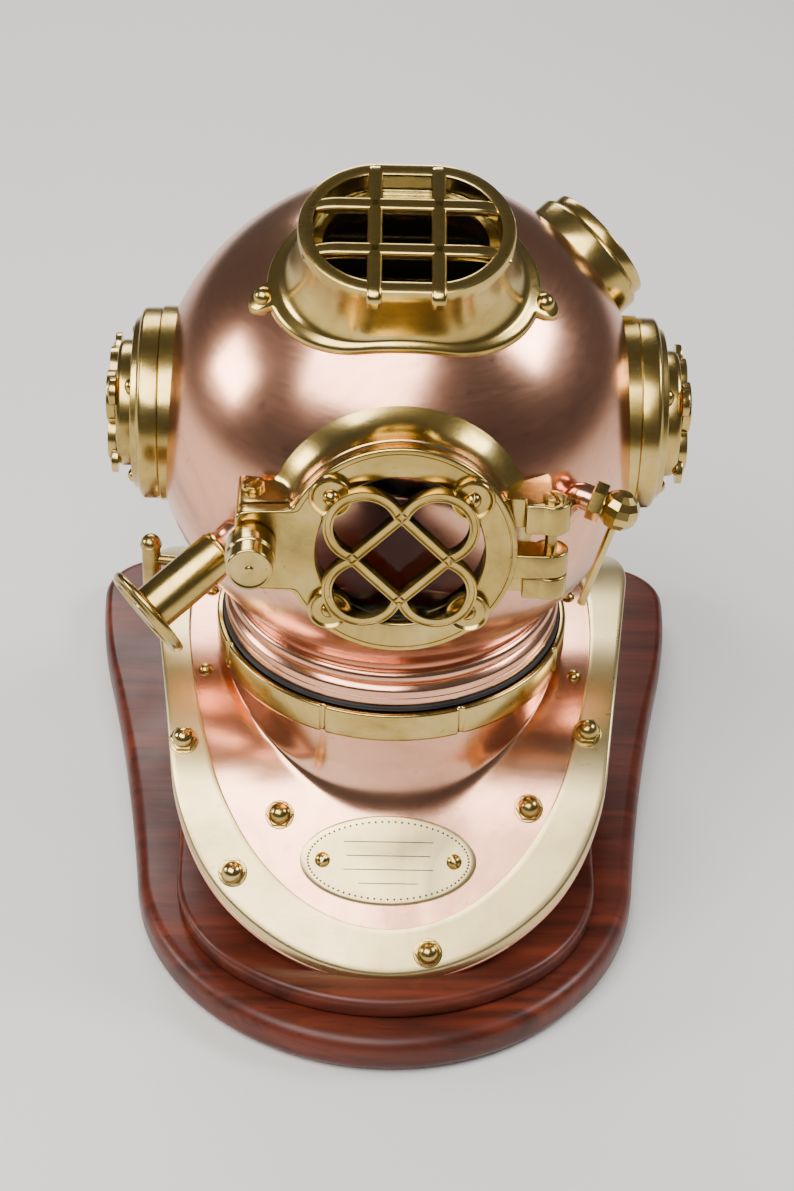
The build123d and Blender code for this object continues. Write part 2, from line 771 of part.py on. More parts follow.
with BuildPart() as faceplate_retainer:
    with BuildSketch(front_plane.offset(door_back)):
        Circle(front_glass_radius - fit_gap)
        Circle(front_window_radius, mode=Mode.SUBTRACT)
    extrude(amount=door_thick - front_lip - front_glass_thick)
keep(faceplate_retainer, "faceplate_retainer")


def clover(plane, share, rise, thick, ear_thick, plate):
    """A four-lobed grille crossed by a diamond, with an eared foot at each corner."""
    half = share * (clover_offset + sqrt(clover_radius**2 - clover_offset**2))
    inner = half - share * clover_bar * sqrt(2)
    with BuildSketch(mode=Mode.PRIVATE) as lobe_holes:
        with Locations(*[(i * share * clover_offset, j * share * clover_offset) for i, j in corners]):
            Circle(share * clover_hole)
        Rectangle(half * sqrt(2), half * sqrt(2), rotation=45, mode=Mode.SUBTRACT)
    feet = [(i * share * clover_ear_offset[0], j * share * clover_ear_offset[1]) for i, j in corners]
    with BuildPart() as grille:
        with BuildSketch(plane.offset(plate)):
            with Locations(*feet):
                Circle(share * clover_ear_radius)
        extrude(amount=ear_thick)
        with BuildSketch(plane.offset(plate + rise)):
            with Locations(*[(i * share * clover_offset, j * share * clover_offset) for i, j in corners]):
                Circle(share * clover_radius)
            Rectangle(half * sqrt(2), half * sqrt(2), rotation=45)
        extrude(amount=thick)
        with BuildSketch(plane.offset(plate)):
            Rectangle(inner * sqrt(2), inner * sqrt(2), rotation=45)
            add(lobe_holes.sketch)
        extrude(amount=rise + thick, mode=Mode.SUBTRACT)
        with Locations(plane.offset(plate)):
            with Locations(*[(x, y, 0) for x, y in feet]):
                Cylinder(
                    shank_share * share * clover_screw_radius + screw_gap, 3 * ear_thick, mode=Mode.SUBTRACT,
                )
                with Locations((0, 0, ear_thick)):
                    Cylinder(
                        share * clover_screw_radius + free_gap, rise + thick, mode=Mode.SUBTRACT,
                        align=(Align.CENTER, Align.CENTER, Align.MIN),
                    )
    with BuildPart() as screws:
        head = share * clover_screw_radius
        with Locations(plane.offset(plate + ear_thick)):
            with Locations(*[(x, y, 0) for x, y in feet]):
                add(dome_screw(head, dome_share * head, shank_share * head, ear_thick + front_lip / 2))
    return grille, screws


faceplate_guard, faceplate_guard_screws = clover(
    front_plane, 1, clover_rise, clover_thick, clover_ear_thick, door_face,
)
keep(faceplate_guard, "faceplate_guard")
keep(faceplate_guard_screws, "faceplate_guard_screws")

# Clamp screw on the door's ear
with BuildPart() as clamp_washer:
    with BuildSketch(front_plane.offset(door_face)):
        with Locations((-clamp_offset, clamp_height)):
            Circle(washer_radius)
            Circle(clamp_shank_radius + fit_gap, mode=Mode.SUBTRACT)
    extrude(amount=washer_thick)
keep(clamp_washer, "clamp_washer")

knob_back = door_face + washer_thick
with BuildPart() as clamp_knob:
    with BuildSketch(front_plane.offset(knob_back)):
        with Locations((-clamp_offset, clamp_height)):
            Circle(knob_radius)
    extrude(amount=knob_band)
    with BuildSketch(front_plane.offset(knob_back + knob_band)):
        with Locations((-clamp_offset, clamp_height)):
            Circle(knob_tip_radius)
    extrude(amount=knob_tip)
keep(clamp_knob, "clamp_knob")

with BuildPart() as clamp_stud:
    with BuildSketch(front_plane.offset(knob_back)):
        with Locations((-clamp_offset, clamp_height)):
            Circle(clamp_shank_radius)
    extrude(amount=-(washer_thick + clamp_shank_length))
keep(clamp_stud, "clamp_stud")

# Side windows
for hand, plane in side_planes.items():
    step_face = side_flange_face + side_step_height
    glass_back = step_face - side_seal_thick - side_glass_thick
    with BuildPart() as seat:
        with BuildSketch(plane.offset(bonnet_radius / 2)):
            Circle(side_seat_radius)
            Circle(side_bore, mode=Mode.SUBTRACT)
        extrude(amount=side_seat_face - bonnet_radius / 2)
        add(bonnet_ball.part, mode=Mode.SUBTRACT)
    keep(seat, f"{hand}_window_seat")

    with BuildPart() as flange:
        with BuildSketch(plane.offset(side_seat_face)):
            Circle(side_flange_radius)
        extrude(amount=side_flange_face - side_seat_face)
        with BuildSketch(plane.offset(side_flange_face)):
            Circle(side_flange_radius - side_step_height / 2)
        with BuildSketch(plane.offset(step_face)):
            Circle(side_step_radius)
        loft()
        with BuildSketch(plane.offset(side_seat_face)):
            Circle(side_bore)
        extrude(amount=step_face - side_seat_face, mode=Mode.SUBTRACT)
        with BuildSketch(plane.offset(glass_back)):
            Circle(side_glass_radius + free_gap)
        extrude(amount=step_face - glass_back, mode=Mode.SUBTRACT)
        add(bonnet_ball.part, mode=Mode.SUBTRACT)
        with BuildSketch(plane.offset(step_face)):
            with PolarLocations(side_screw_circle, side_screw_count, start_angle=side_screw_turn):
                Circle(small_hole)
        extrude(amount=side_seat_face - step_face, mode=Mode.SUBTRACT)
    keep(flange, f"{hand}_window_flange")

    with BuildPart() as glass:
        with BuildSketch(plane.offset(glass_back)):
            Circle(side_glass_radius)
        extrude(amount=side_glass_thick)
    keep(glass, f"{hand}_window_glass")

    with BuildPart() as seal:
        with BuildSketch(plane.offset(glass_back + side_glass_thick)):
            Circle(side_glass_radius)
            Circle(side_bezel_bore + free_gap, mode=Mode.SUBTRACT)
        extrude(amount=side_seal_thick)
    keep(seal, f"{hand}_window_seal")

    with BuildPart() as bezel:
        with BuildSketch(plane.offset(step_face)):
            Circle(side_bezel_radius)
            Circle(side_bezel_bore, mode=Mode.SUBTRACT)
        extrude(amount=side_bezel_height)
        chamfer(bezel.edges().filter_by(GeomType.CIRCLE).group_by(SortBy.RADIUS)[-1], collar_chamfer / 2)
        guard_feet = [
            (i * side_guard_share * clover_ear_offset[0], j * side_guard_share * clover_ear_offset[1])
            for i, j in corners
        ]
        with Locations(plane.offset(step_face + side_bezel_height)):
            with Locations(*[(x, y, 0) for x, y in guard_feet]):
                Cylinder(
                    shank_share * side_guard_share * clover_screw_radius + screw_gap, side_bezel_height,
                    mode=Mode.SUBTRACT,
                )
    keep(bezel, f"{hand}_window_bezel")

    guard, guard_screws = clover(
        plane, side_guard_share, clover_rise / 2, side_guard_thick, guard_ear_share * side_guard_thick,
        step_face + side_bezel_height,
    )
    keep(guard, f"{hand}_window_guard")
    keep(guard_screws, f"{hand}_window_guard_screws")

    with BuildPart() as rim_screws:
        with Locations(plane.offset(step_face)):
            with PolarLocations(side_screw_circle, side_screw_count, start_angle=side_screw_turn):
                add(small_screw)
    keep(rim_screws, f"{hand}_window_screws")

# Top light: flanged frame, glass and barred grille
ear_drop = hypot(top_ear_offset[0], top_ear_offset[1])
ear_level = sqrt((bonnet_radius + top_flange_thick) ** 2 - ear_drop**2)
ear_places = []
for side in (-1, 1):
    foot = top_plane.from_local_coords(Vector(side * top_ear_offset[0], -top_ear_offset[1], ear_level))
    ear_places.append(Plane(origin=foot, z_dir=foot - centre))
with BuildPart() as top_light_frame:
    with BuildSketch(top_plane.offset(bonnet_radius / 2)):
        SlotOverall(top_flange_length, top_flange_width)
        with Locations(*[(i * top_ear_offset[0], -top_ear_offset[1]) for i in (-1, 1)]):
            Circle(top_ear_share * top_screw_radius)
    extrude(amount=bonnet_radius)
    with Locations(centre):
        Sphere(bonnet_radius + top_flange_thick, mode=Mode.INTERSECT)
    with BuildSketch(top_plane.offset(top_flare_low)):
        SlotOverall(top_flare_length, top_flare_width)
    with BuildSketch(top_plane.offset(top_flare_high)):
        SlotOverall(top_length, top_width)
    loft()
    with BuildSketch(top_plane.offset(bonnet_radius / 2)):
        SlotOverall(top_length, top_width)
    extrude(amount=top_face - bonnet_radius / 2)
    add(bonnet_ball.part, mode=Mode.SUBTRACT)
    with BuildSketch(top_plane):
        SlotOverall(top_bore_length, top_bore_width)
    extrude(amount=bonnet_radius + cut_over, mode=Mode.SUBTRACT)
    glass_floor = top_face - top_glass_depth
    with BuildSketch(top_plane.offset(glass_floor - top_glass_thick)):
        SlotOverall(top_bore_length, top_bore_width)
        SlotOverall(top_bore_length - 2 * top_ledge, top_bore_width - 2 * top_ledge, mode=Mode.SUBTRACT)
    extrude(amount=top_glass_thick)
    with Locations(*ear_places):
        Cylinder(shank_share * top_screw_radius + screw_gap, cut_over, mode=Mode.SUBTRACT)
keep(top_light_frame, "top_light_frame")

with BuildPart() as top_light_glass:
    with BuildSketch(top_plane.offset(glass_floor)):
        SlotOverall(top_bore_length - free_gap * 2, top_bore_width - free_gap * 2)
    extrude(amount=top_glass_thick)
keep(top_light_glass, "top_light_glass")

grille_low = top_face
with BuildPart() as top_light_grille:
    with BuildSketch(top_plane.offset(grille_low)):
        with GridLocations(bar_spacing, 0, 2, 1):
            Rectangle(bar_width, top_width + 2 * free_gap + bar_thick)
        with GridLocations(0, rung_spacing, 1, 2):
            SlotOverall(top_length - bar_width, bar_width)
    extrude(amount=bar_thick)
    with BuildSketch(top_plane.offset(grille_low)):
        with GridLocations(bar_spacing, top_width + 2 * free_gap + bar_thick / 2, 2, 2):
            Rectangle(bar_width, bar_thick / 2)
    extrude(amount=-bar_drop)
keep(top_light_grille, "top_light_grille")

with BuildPart() as top_light_screws:
    with Locations(*ear_places):
        add(dome_screw(
            top_screw_radius, dome_share * top_screw_radius, shank_share * top_screw_radius, top_flange_thick,
        ))
keep(top_light_screws, "top_light_screws")

# Exhaust cover
with BuildPart() as exhaust_seat:
    with BuildSketch(exhaust_plane.offset(bonnet_radius / 2)):
        Circle(exhaust_radius)
        Circle(exhaust_bore, mode=Mode.SUBTRACT)
    extrude(amount=exhaust_face - bonnet_radius / 2)
    add(bonnet_ball.part, mode=Mode.SUBTRACT)
    chamfer(exhaust_seat.edges().filter_by(GeomType.CIRCLE).sort_by(SortBy.RADIUS)[-1], collar_chamfer)
    with BuildSketch(exhaust_plane.offset(exhaust_face)):
        with Locations((exhaust_ear_reach - exhaust_ear_radius, 0)):
            Circle(shank_share * exhaust_screw_radius + screw_gap)
    extrude(amount=-exhaust_screw_length, mode=Mode.SUBTRACT)
keep(exhaust_seat, "exhaust_seat")

with BuildPart() as exhaust_cap:
    with BuildSketch(exhaust_plane.offset(exhaust_face)):
        Circle(exhaust_cap_radius)
        with Locations((exhaust_ear_reach - exhaust_ear_radius, 0)):
            Circle(exhaust_ear_radius)
    extrude(amount=exhaust_cap_thick)
    chamfer(exhaust_cap.faces().sort_by(Axis((0, 0, 0), exhaust_direction))[-1].edges(), collar_chamfer / 2)
    with BuildSketch(exhaust_plane.offset(exhaust_face)):
        with Locations((exhaust_ear_reach - exhaust_ear_radius, 0)):
            Circle(shank_share * exhaust_screw_radius + screw_gap)
    extrude(amount=exhaust_cap_thick, mode=Mode.SUBTRACT)
keep(exhaust_cap, "exhaust_cap")

exhaust_screw_place = exhaust_plane.offset(exhaust_face + exhaust_cap_thick)
with BuildPart() as exhaust_screw:
    with Locations(exhaust_screw_place):
        with Locations((exhaust_ear_reach - exhaust_ear_radius, 0, 0)):
            add(dome_screw(
                exhaust_screw_radius, dome_share * exhaust_screw_radius, shank_share * exhaust_screw_radius,
                exhaust_screw_length,
            ))
keep(exhaust_screw, "exhaust_screw")

# Regulating valve: copper socket, brass barrel, and the flanged wheel on its stem
with BuildPart() as regulator_socket:
    with BuildSketch(regulator_plane.offset(-cut_over)):
        Circle(regulator_socket_radius)
    extrude(amount=cut_over)
    add(bonnet_ball.part, mode=Mode.SUBTRACT)
    add(front_ring.part, mode=Mode.SUBTRACT)
keep(regulator_socket, "regulator_socket")

with BuildPart() as regulator_barrel:
    with BuildSketch(regulator_plane):
        Circle(regulator_tube_radius)
    extrude(amount=regulator_tube_length)
    with BuildSketch(regulator_plane.offset(regulator_tube_length)):
        Circle(stem_radius + fit_gap)
    extrude(amount=-(stem_length + free_gap), mode=Mode.SUBTRACT)
keep(regulator_barrel, "regulator_barrel")

wheel_plane = regulator_plane.offset(regulator_tube_length)
with BuildPart() as regulator_wheel:
    with BuildSketch(wheel_plane):
        Circle(wheel_radius)
    extrude(amount=wheel_thick)
    fillet(regulator_wheel.edges().filter_by(GeomType.CIRCLE), wheel_thick / 4)
    with BuildSketch(wheel_plane.offset(wheel_thick)):
        Circle(wheel_radius - wheel_lip)
        Circle(wheel_radius - wheel_lip - wheel_lip_width, mode=Mode.SUBTRACT)
        Circle(stem_radius + wheel_lip_width)
    extrude(amount=wheel_lip)
    with BuildSketch(wheel_plane):
        Circle(stem_radius)
    extrude(amount=-stem_length)
keep(regulator_wheel, "regulator_wheel")

# Spit cock: copper elbow, lock nut, and the ball with its lever
cock_entry_point = centre + Vector(*cock_entry) * module
cock_lead = cock_start - cock_entry_point
with BuildPart() as spit_cock_pipe:
    with BuildSketch(axis_plane(cock_entry_point, cock_lead)):
        Circle(cock_pipe_radius)
    extrude(amount=cock_lead.length)
    with Locations(cock_start):
        Sphere(cock_pipe_radius)
    with BuildSketch(cock_plane):
        Circle(cock_pipe_radius)
    extrude(amount=cock_pipe_run)
    add(bonnet_ball.part, mode=Mode.SUBTRACT)
keep(spit_cock_pipe, "spit_cock_pipe")

cock_end = cock_pipe_run + cock_nut_length
with BuildPart() as spit_cock_nut:
    with BuildSketch(cock_plane.offset(cock_pipe_run)):
        RegularPolygon(cock_nut_width / 2, 6, major_radius=False)
        Circle(cock_stem_radius + fit_gap, mode=Mode.SUBTRACT)
    extrude(amount=cock_nut_length)
keep(spit_cock_nut, "spit_cock_nut")

ball_drop = sqrt(cock_body_radius**2 - (cock_body_radius * cock_seat_share) ** 2)
ball_plane = cock_plane.offset(cock_end + ball_drop)
with BuildPart() as spit_cock_ball:
    with Locations(ball_plane):
        Sphere(cock_body_radius)
    with BuildSketch(cock_plane.offset(cock_end)):
        Circle(cock_body_radius)
    extrude(amount=-cock_body_radius, mode=Mode.SUBTRACT)
    with BuildSketch(cock_plane.offset(cock_pipe_run + free_gap)):
        Circle(cock_stem_radius)
    extrude(amount=cock_nut_length + ball_drop - free_gap)
    lever_plane = axis_plane(ball_plane.origin, lever_direction)
    lever_start = cock_body_radius * lever_seat_share
    with BuildSketch(lever_plane.offset(lever_start)):
        Circle(lever_radius + screw_gap)
    extrude(amount=cock_body_radius, mode=Mode.SUBTRACT)
keep(spit_cock_ball, "spit_cock_ball")

with BuildPart() as spit_cock_lever:
    with BuildSketch(lever_plane.offset(lever_start)):
        Circle(lever_radius)
    extrude(amount=lever_length)
    fillet(spit_cock_lever.edges().filter_by(GeomType.CIRCLE), lever_radius / 3)
keep(spit_cock_lever, "spit_cock_lever")

# Inlet post beside the neck
inlet_foot = Vector(inlet_place[0], inlet_place[1], ring_top + inlet_pipe_height)
inlet_base = Plane(origin=(inlet_place[0], inlet_place[1], ring_top + inlet_post_bottom))
inlet_tall = inlet_post_top - inlet_post_bottom
inward = Vector(-inlet_place[0], -inlet_place[1], 0)
with BuildPart() as inlet_pipe:
    with BuildSketch(axis_plane(inlet_foot, inward).offset(inlet_post_radius / 2)):
        Circle(inlet_pipe_radius)
    extrude(amount=inward.length - blend_end[0] - inlet_post_radius / 2 + bonnet_wall / 2)
    add(bonnet_shell.part, mode=Mode.SUBTRACT)
    with BuildSketch(inlet_base):
        Circle(inlet_post_radius)
    extrude(amount=inlet_tall, mode=Mode.SUBTRACT)
keep(inlet_pipe, "inlet_pipe")

with BuildPart() as inlet_post:
    with BuildSketch(inlet_base):
        Circle(inlet_post_radius)
    extrude(amount=inlet_tall)
    fillet(inlet_post.faces().sort_by(Axis.Z)[0].edges(), inlet_post_radius / 4)
keep(inlet_post, "inlet_post")

with BuildPart() as inlet_cap:
    with BuildSketch(inlet_base.offset(inlet_tall)):
        Circle(inlet_post_radius + inlet_cap_lip)
    extrude(amount=inlet_cap_height)
    fillet(inlet_cap.faces().sort_by(Axis.Z)[-1].edges(), dome_share * inlet_cap_height)
keep(inlet_cap, "inlet_cap")

for piece, name in pieces:
    export_step(piece, f"parts/{name}.step")
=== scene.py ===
"""A copper and brass diving helmet on a two-tier wood base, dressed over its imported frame."""

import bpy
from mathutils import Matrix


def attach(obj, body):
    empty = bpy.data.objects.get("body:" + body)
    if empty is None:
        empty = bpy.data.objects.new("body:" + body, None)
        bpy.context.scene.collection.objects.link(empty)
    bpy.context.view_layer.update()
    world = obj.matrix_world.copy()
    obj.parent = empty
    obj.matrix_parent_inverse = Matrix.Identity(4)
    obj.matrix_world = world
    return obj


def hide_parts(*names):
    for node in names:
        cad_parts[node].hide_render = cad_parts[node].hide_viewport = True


bl_info = {
    "name": "Diving Helmet on a Wood Base",
    "version": (1, 0, 0),
    "blender": (4, 5, 0),
    "location": "3D View > Sidebar > Helmet",
    "description": "Builds the helmet's detailed pieces, their finishes and a plain studio",
    "category": "Object",
}

import bmesh
import bpy
import numpy as np
from mathutils import Matrix, Vector

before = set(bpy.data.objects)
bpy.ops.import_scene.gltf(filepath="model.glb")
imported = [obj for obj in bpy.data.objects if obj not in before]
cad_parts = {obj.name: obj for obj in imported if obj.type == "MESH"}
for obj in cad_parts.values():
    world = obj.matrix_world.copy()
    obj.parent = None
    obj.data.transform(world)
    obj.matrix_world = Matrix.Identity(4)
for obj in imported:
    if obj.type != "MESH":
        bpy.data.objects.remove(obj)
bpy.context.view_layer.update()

MM = 0.001
TURN = 2 * np.pi

# Bonnet, ports and collar, in millimetres
BONNET = 80.0
CENTRE = np.array([0.0, 0.0, 178.4])
COLLAR_TOP = 101.4
COLLAR_FOOT = 90.4
COLLAR_RADIUS = 60.0
WALL = 2.0
BAND = 2.5
PLINTH_FOOT = 14.4
PLINTH_TOP = 22.4
LEVEL = 84.9
SADDLE_RADIUS = 101.0
SADDLE_FRONT = 5.0
SADDLE_BACK = 19.0
FLARE_RADIUS = 57.0
FLARE_SWEEP = 30.0
FLARE_TOP = 77.15
FLARE_FALL = 0.06
FLARE_SOFT = 0.6
NECK_BEND = 8.0
RING_FACE = 80.5
DOOR_BACK = 81.3
DOOR_FACE = 86.0
DOOR_RADIUS = 35.3
DOOR_BORE = 25.4
HINGE_PIN = (45.5, -80.0)
CLAMP_LEFT = -44.6
SIDE_LIFT = 4.0
SIDE_FACE = 90.4
SIDE_SHARE = 0.66
GRILLE_TOP = 97.0
CAP_RADIUS = 3.7

PLATE_STOPS = ((0, -101), (52, -85), (73.5, -50), (85, 38), (64, 101), (0, 125))
INNER_STOPS = ((0, -90), (44, -73), (60, -48), (69, 38), (46, 95), (0, 113.5))
BOARD_STOPS = ((0, -123), (55, -103), (87, -43), (96, 23), (106, 75), (112, 125), (98, 146), (0, 163))
PLINTH_STOPS = ((0, -112), (50, -95), (72.5, -50), (79, 38), (60, 110), (0, 136))

BAND_BOLTS = (
    (-69.5, -42.1), (-51.8, -75.9), (13.6, -94.0), (66.7, -37.4), (-64.0, 76.0), (64.0, 76.0), (0.0, 116.0),
)
PLATE_BOLTS = ((-36.6, -61.9), (46.9, -59.2))
COLLAR_SCREWS = ((-63.5, -14.0), (63.5, -14.0), (-63.5, 30.0), (63.5, 30.0))
CORNERS = ((-1, -1), (-1, 1), (1, -1), (1, 1))


# Geometry in numpy


def unit(direction):
    """A direction divided by its own length."""
    direction = np.asarray(direction, float)
    return direction / np.linalg.norm(direction)


class Seat:
    """A working plane: an origin and three axes, with places given as across, up and out."""

    def __init__(self, origin, out, across):
        self.origin = np.asarray(origin, float)
        self.out = unit(out)
        across = np.asarray(across, float)
        self.across = unit(across - self.out * (across @ self.out))
        self.up = np.cross(self.out, self.across)

    def place(self, x, y, z):
        """The point at origin + x across + y up + z out, for arrays as for numbers."""
        x, y, z = np.broadcast_arrays(x, y, z)
        return (
            self.origin
            + x[..., None] * self.across
            + y[..., None] * self.up
            + z[..., None] * self.out
        )

    def polar(self, radius, angle, height):
        """The point at a radius and an angle from the axis, and a height along it."""
        return self.place(radius * np.cos(angle), radius * np.sin(angle), height)

    def shifted(self, x=0.0, y=0.0, z=0.0):
        """The same axes at another origin, given in this seat's own numbers."""
        return Seat(self.place(x, y, z), self.out, self.across)


TILT = np.radians(5.0)
LEAN = np.radians(22.0)
GROUND = Seat((0, 0, 0), (0, 0, 1), (1, 0, 0))
FRONT = Seat(CENTRE, (0, -np.cos(TILT), np.sin(TILT)), (1, 0, 0))
HINGE = Seat(CENTRE, FRONT.up, (1, 0, 0))
TOP = Seat(CENTRE, (0, -np.sin(LEAN), np.cos(LEAN)), (1, 0, 0))
LEFT = Seat(CENTRE + (0, 0, SIDE_LIFT), (-1, 0, 0), (0, -1, 0))
RIGHT = Seat(CENTRE + (0, 0, SIDE_LIFT), (1, 0, 0), (0, 1, 0))
EXHAUST = Seat(CENTRE, (0.74, 0.45, 0.50), (0.43, 0.25, -0.87))
REGULATOR = Seat(CENTRE + (-54.4, -62.5, -9.1), (-0.741, -0.494, -0.455), (0.5, -0.86, 0.1))
COCK = Seat(CENTRE + (54.5, -61.5, 13.5), (0.93, -0.30, -0.22), (0.3, 0.95, 0))
LEVER_WAY = unit((-0.27, -0.08, -0.96))


def soften(points, radius, steps=4, closed=True):
    """Rounds a polyline's corners: each becomes a parabola between points set back along its two runs."""
    points = np.asarray(points, float)
    radius = np.broadcast_to(np.asarray(radius, float), len(points))[:, None]
    before, after = np.roll(points, 1, 0) - points, np.roll(points, -1, 0) - points
    reach = np.linalg.norm(before, axis=1, keepdims=True), np.linalg.norm(after, axis=1, keepdims=True)
    start = points + before / np.maximum(reach[0], 1e-9) * np.minimum(radius, reach[0] * 0.49)
    end = points + after / np.maximum(reach[1], 1e-9) * np.minimum(radius, reach[1] * 0.49)
    t = np.linspace(0, 1, steps + 1)[None, :, None]
    bends = (1 - t) ** 2 * start[:, None] + 2 * t * (1 - t) * points[:, None] + t**2 * end[:, None]
    if closed:
        return bends.reshape(-1, points.shape[1])
    return np.vstack([points[:1], bends[1:-1].reshape(-1, points.shape[1]), points[-1:]])


def around(count):
    """Even angles of one turn, its end left out."""
    return np.arange(count) / count * TURN


def spun(seat, profile, count=128, shape=None):
    """A profile of radius and height turned about a seat's axis; shape may change the radius by angle."""
    angle = around(count)[:, None]
    radius, height = (column[None] for column in np.asarray(profile, float).T)
    if shape is not None:
        radius = shape(angle, radius, height)
    return seat.polar(radius, angle, height)


def exit_circle(angle, middle, radius, start=(0.0, 0.0)):
    """How far a ray from start runs, at each angle, before it leaves a circle; nothing where it misses."""
    gap = np.array(start, float) - np.array(middle, float)
    along = gap[0] * np.cos(angle) + gap[1] * np.sin(angle)
    square = along**2 - gap @ gap + radius**2
    return np.where(square > 0, np.sqrt(np.maximum(square, 0)) - along, 0.0)


def exit_box(angle, low, high, start=(0.0, 0.0)):
    """How far a ray from start runs, at each angle, before it leaves an upright box."""
    cosine, sine = np.cos(angle), np.sin(angle)
    wide = np.where(cosine > 0, high[0] - start[0], start[0] - low[0]) / np.maximum(np.abs(cosine), 1e-9)
    tall = np.where(sine > 0, high[1] - start[1], start[1] - low[1]) / np.maximum(np.abs(sine), 1e-9)
    return (wide**-14.0 + tall**-14.0) ** (-1 / 14)


def merged(power, *reaches):
    """A soft maximum: the sum of the reaches' powers, brought back by the root."""
    return sum(np.maximum(reach, 0) ** power for reach in reaches) ** (1 / power)


def rounding(edge, steps):
    """A rounded rim as insets and drops, from the face to the side."""
    bend = np.linspace(0, np.pi / 2, steps + 1)
    return edge * (1 - np.sin(bend)), edge * (1 - np.cos(bend))


def slab(seat, reach, low, high, edge=0.5, start=(0.0, 0.0), steps=3):
    """A plate: an outline given as reach by angle, its rims rounded and its faces fanned to the start."""
    angle = around(len(reach))[:, None]
    inset, drop = rounding(edge, steps)
    insets = np.concatenate([[edge], inset, inset[::-1], [edge]])
    heights = np.concatenate([[low, low, low], low + drop, (high - drop)[::-1], [high, high, high]])
    radius = reach[:, None] - insets[None, :]
    hub = radius[:, :1]
    radius = np.concatenate([0 * hub, 0.6 * hub, radius, 0.6 * hub, 0 * hub], 1)
    return seat.shifted(*start).polar(radius, angle, heights[None, :])


def holed(seat, reach, hole, low, high, edge, groove):
    """A plate with a hole: rims rounded, and a shallow groove let in along the outer edge."""
    hole = np.broadcast_to(hole, reach.shape)
    rim = list(zip(*rounding(edge, 3)))
    away, wide, deep = groove
    out = [(1, -inset, low + drop) for inset, drop in rim]
    out += [(1, -inset, high - drop) for inset, drop in rim[::-1]]
    out += [(1, -away, high), (1, -away - wide * 0.3, high - deep), (1, -away - wide * 0.7, high - deep)]
    out += [(1, -away - wide, high), (1, -away - wide - 0.3, high), (0.5, 0, high)]
    out += [(0, inset, high - drop) for inset, drop in rim]
    out += [(0, inset, low + drop) for inset, drop in rim[::-1]] + [(0.5, 0, low)]
    mix, shift, height = np.array(out).T
    radius = hole[:, None] + (reach - hole)[:, None] * mix + shift
    return seat.polar(radius, around(len(reach))[:, None], height[None, :])


def carried(path, section, side):
    """A closed section carried along a path: each ring stands square to it, held by a side direction."""
    path = np.asarray(path, float)
    along = np.gradient(path, axis=0)
    along /= np.linalg.norm(along, axis=1, keepdims=True)
    side = np.broadcast_to(np.asarray(side, float), path.shape)
    lift = side - along * np.sum(side * along, 1, keepdims=True)
    lift /= np.linalg.norm(lift, axis=1, keepdims=True)
    across = np.cross(along, lift)
    section = np.asarray(section, float)
    return (
        path[:, None]
        + across[:, None] * section[None, :, :1]
        + lift[:, None] * section[None, :, 1:]
    )


def capped(grid):
    """A carried grid with each end drawn in to its own middle."""
    return np.concatenate([
        np.broadcast_to(grid[:1].mean(1, keepdims=True), grid[:1].shape), grid,
        np.broadcast_to(grid[-1:].mean(1, keepdims=True), grid[-1:].shape),
    ])


def round_bar(radius, count=16):
    """A circle as a closed section."""
    angle = around(count)
    return np.stack([radius * np.cos(angle), radius * np.sin(angle)], 1)


def tangent_outline(stops, samples=48):
    """A closed outline of arcs, each tangent to the last; the left half mirrors the right."""
    stops = np.array(stops, float)
    way, points = np.array([1.0, 0.0]), []
    for start, end in zip(stops, stops[1:]):
        chord = end - start
        normal = np.array([-way[1], way[0]])
        bow = 2 * (chord @ normal) / (chord @ chord)
        swing = 2 * np.arctan2(chord @ normal, chord @ way)
        angle = np.linspace(0, 1, samples, endpoint=False) * swing
        points.append(start + (np.sin(angle)[:, None] * way + (1 - np.cos(angle))[:, None] * normal) / bow)
        way = way * np.cos(swing) + normal * np.sin(swing)
    right = np.vstack(points + [stops[-1:]])
    return np.vstack([right, (right * (-1, 1))[-2:0:-1]])


def outline_reach(stops, angle):
    """The reach of an outline from the frame's axis at each angle."""
    outline = tangent_outline(stops)
    bearing = np.unwrap(np.arctan2(outline[:, 1], outline[:, 0]))
    reach = np.hypot(*outline.T)
    order = np.argsort(bearing)
    return np.interp(angle, bearing[order], reach[order], period=TURN)


def saddle(y, lift):
    """The arch's height at y: level at the crest, a circle to 45 degrees, then a straight fall."""
    over = np.maximum(np.maximum(SADDLE_FRONT - y, y - SADDLE_BACK), 0)
    run = SADDLE_RADIUS + lift
    knee = run * np.sqrt(0.5)
    bent = np.minimum(over, knee)
    return LEVEL + lift - (run - np.sqrt(run**2 - bent**2)) - np.maximum(over - knee, 0)


def flare(radius):
    """The neck's flared height at a radius: an arc from upright to 45 degrees, falling away past it."""
    width = 1 - np.sqrt(0.5)
    sweep = np.clip((radius - FLARE_RADIUS) / FLARE_SWEEP, 0, width)
    past = np.maximum(radius - FLARE_RADIUS - FLARE_SWEEP * width, 0)
    return FLARE_TOP - FLARE_SWEEP * np.sqrt(1 - (1 - sweep) ** 2) - past - FLARE_FALL * past**2


def copper_top(x, y):
    """The breastplate's outer height: the arch and the flare joined by a soft maximum."""
    arch, neck = saddle(y, 0.0), flare(np.hypot(x, y))
    return np.minimum(np.logaddexp(FLARE_SOFT * arch, FLARE_SOFT * neck) / FLARE_SOFT, COLLAR_FOOT)


def copper_normal(x, y):
    """The unit normal of the breastplate's outer face, from its slopes."""
    slope_x = (copper_top(x + 0.1, y) - copper_top(x - 0.1, y)) / 0.2
    slope_y = (copper_top(x, y + 0.1) - copper_top(x, y - 0.1)) / 0.2
    normal = np.stack([-slope_x, -slope_y, np.ones_like(x)], -1)
    return normal / np.linalg.norm(normal, axis=-1, keepdims=True)


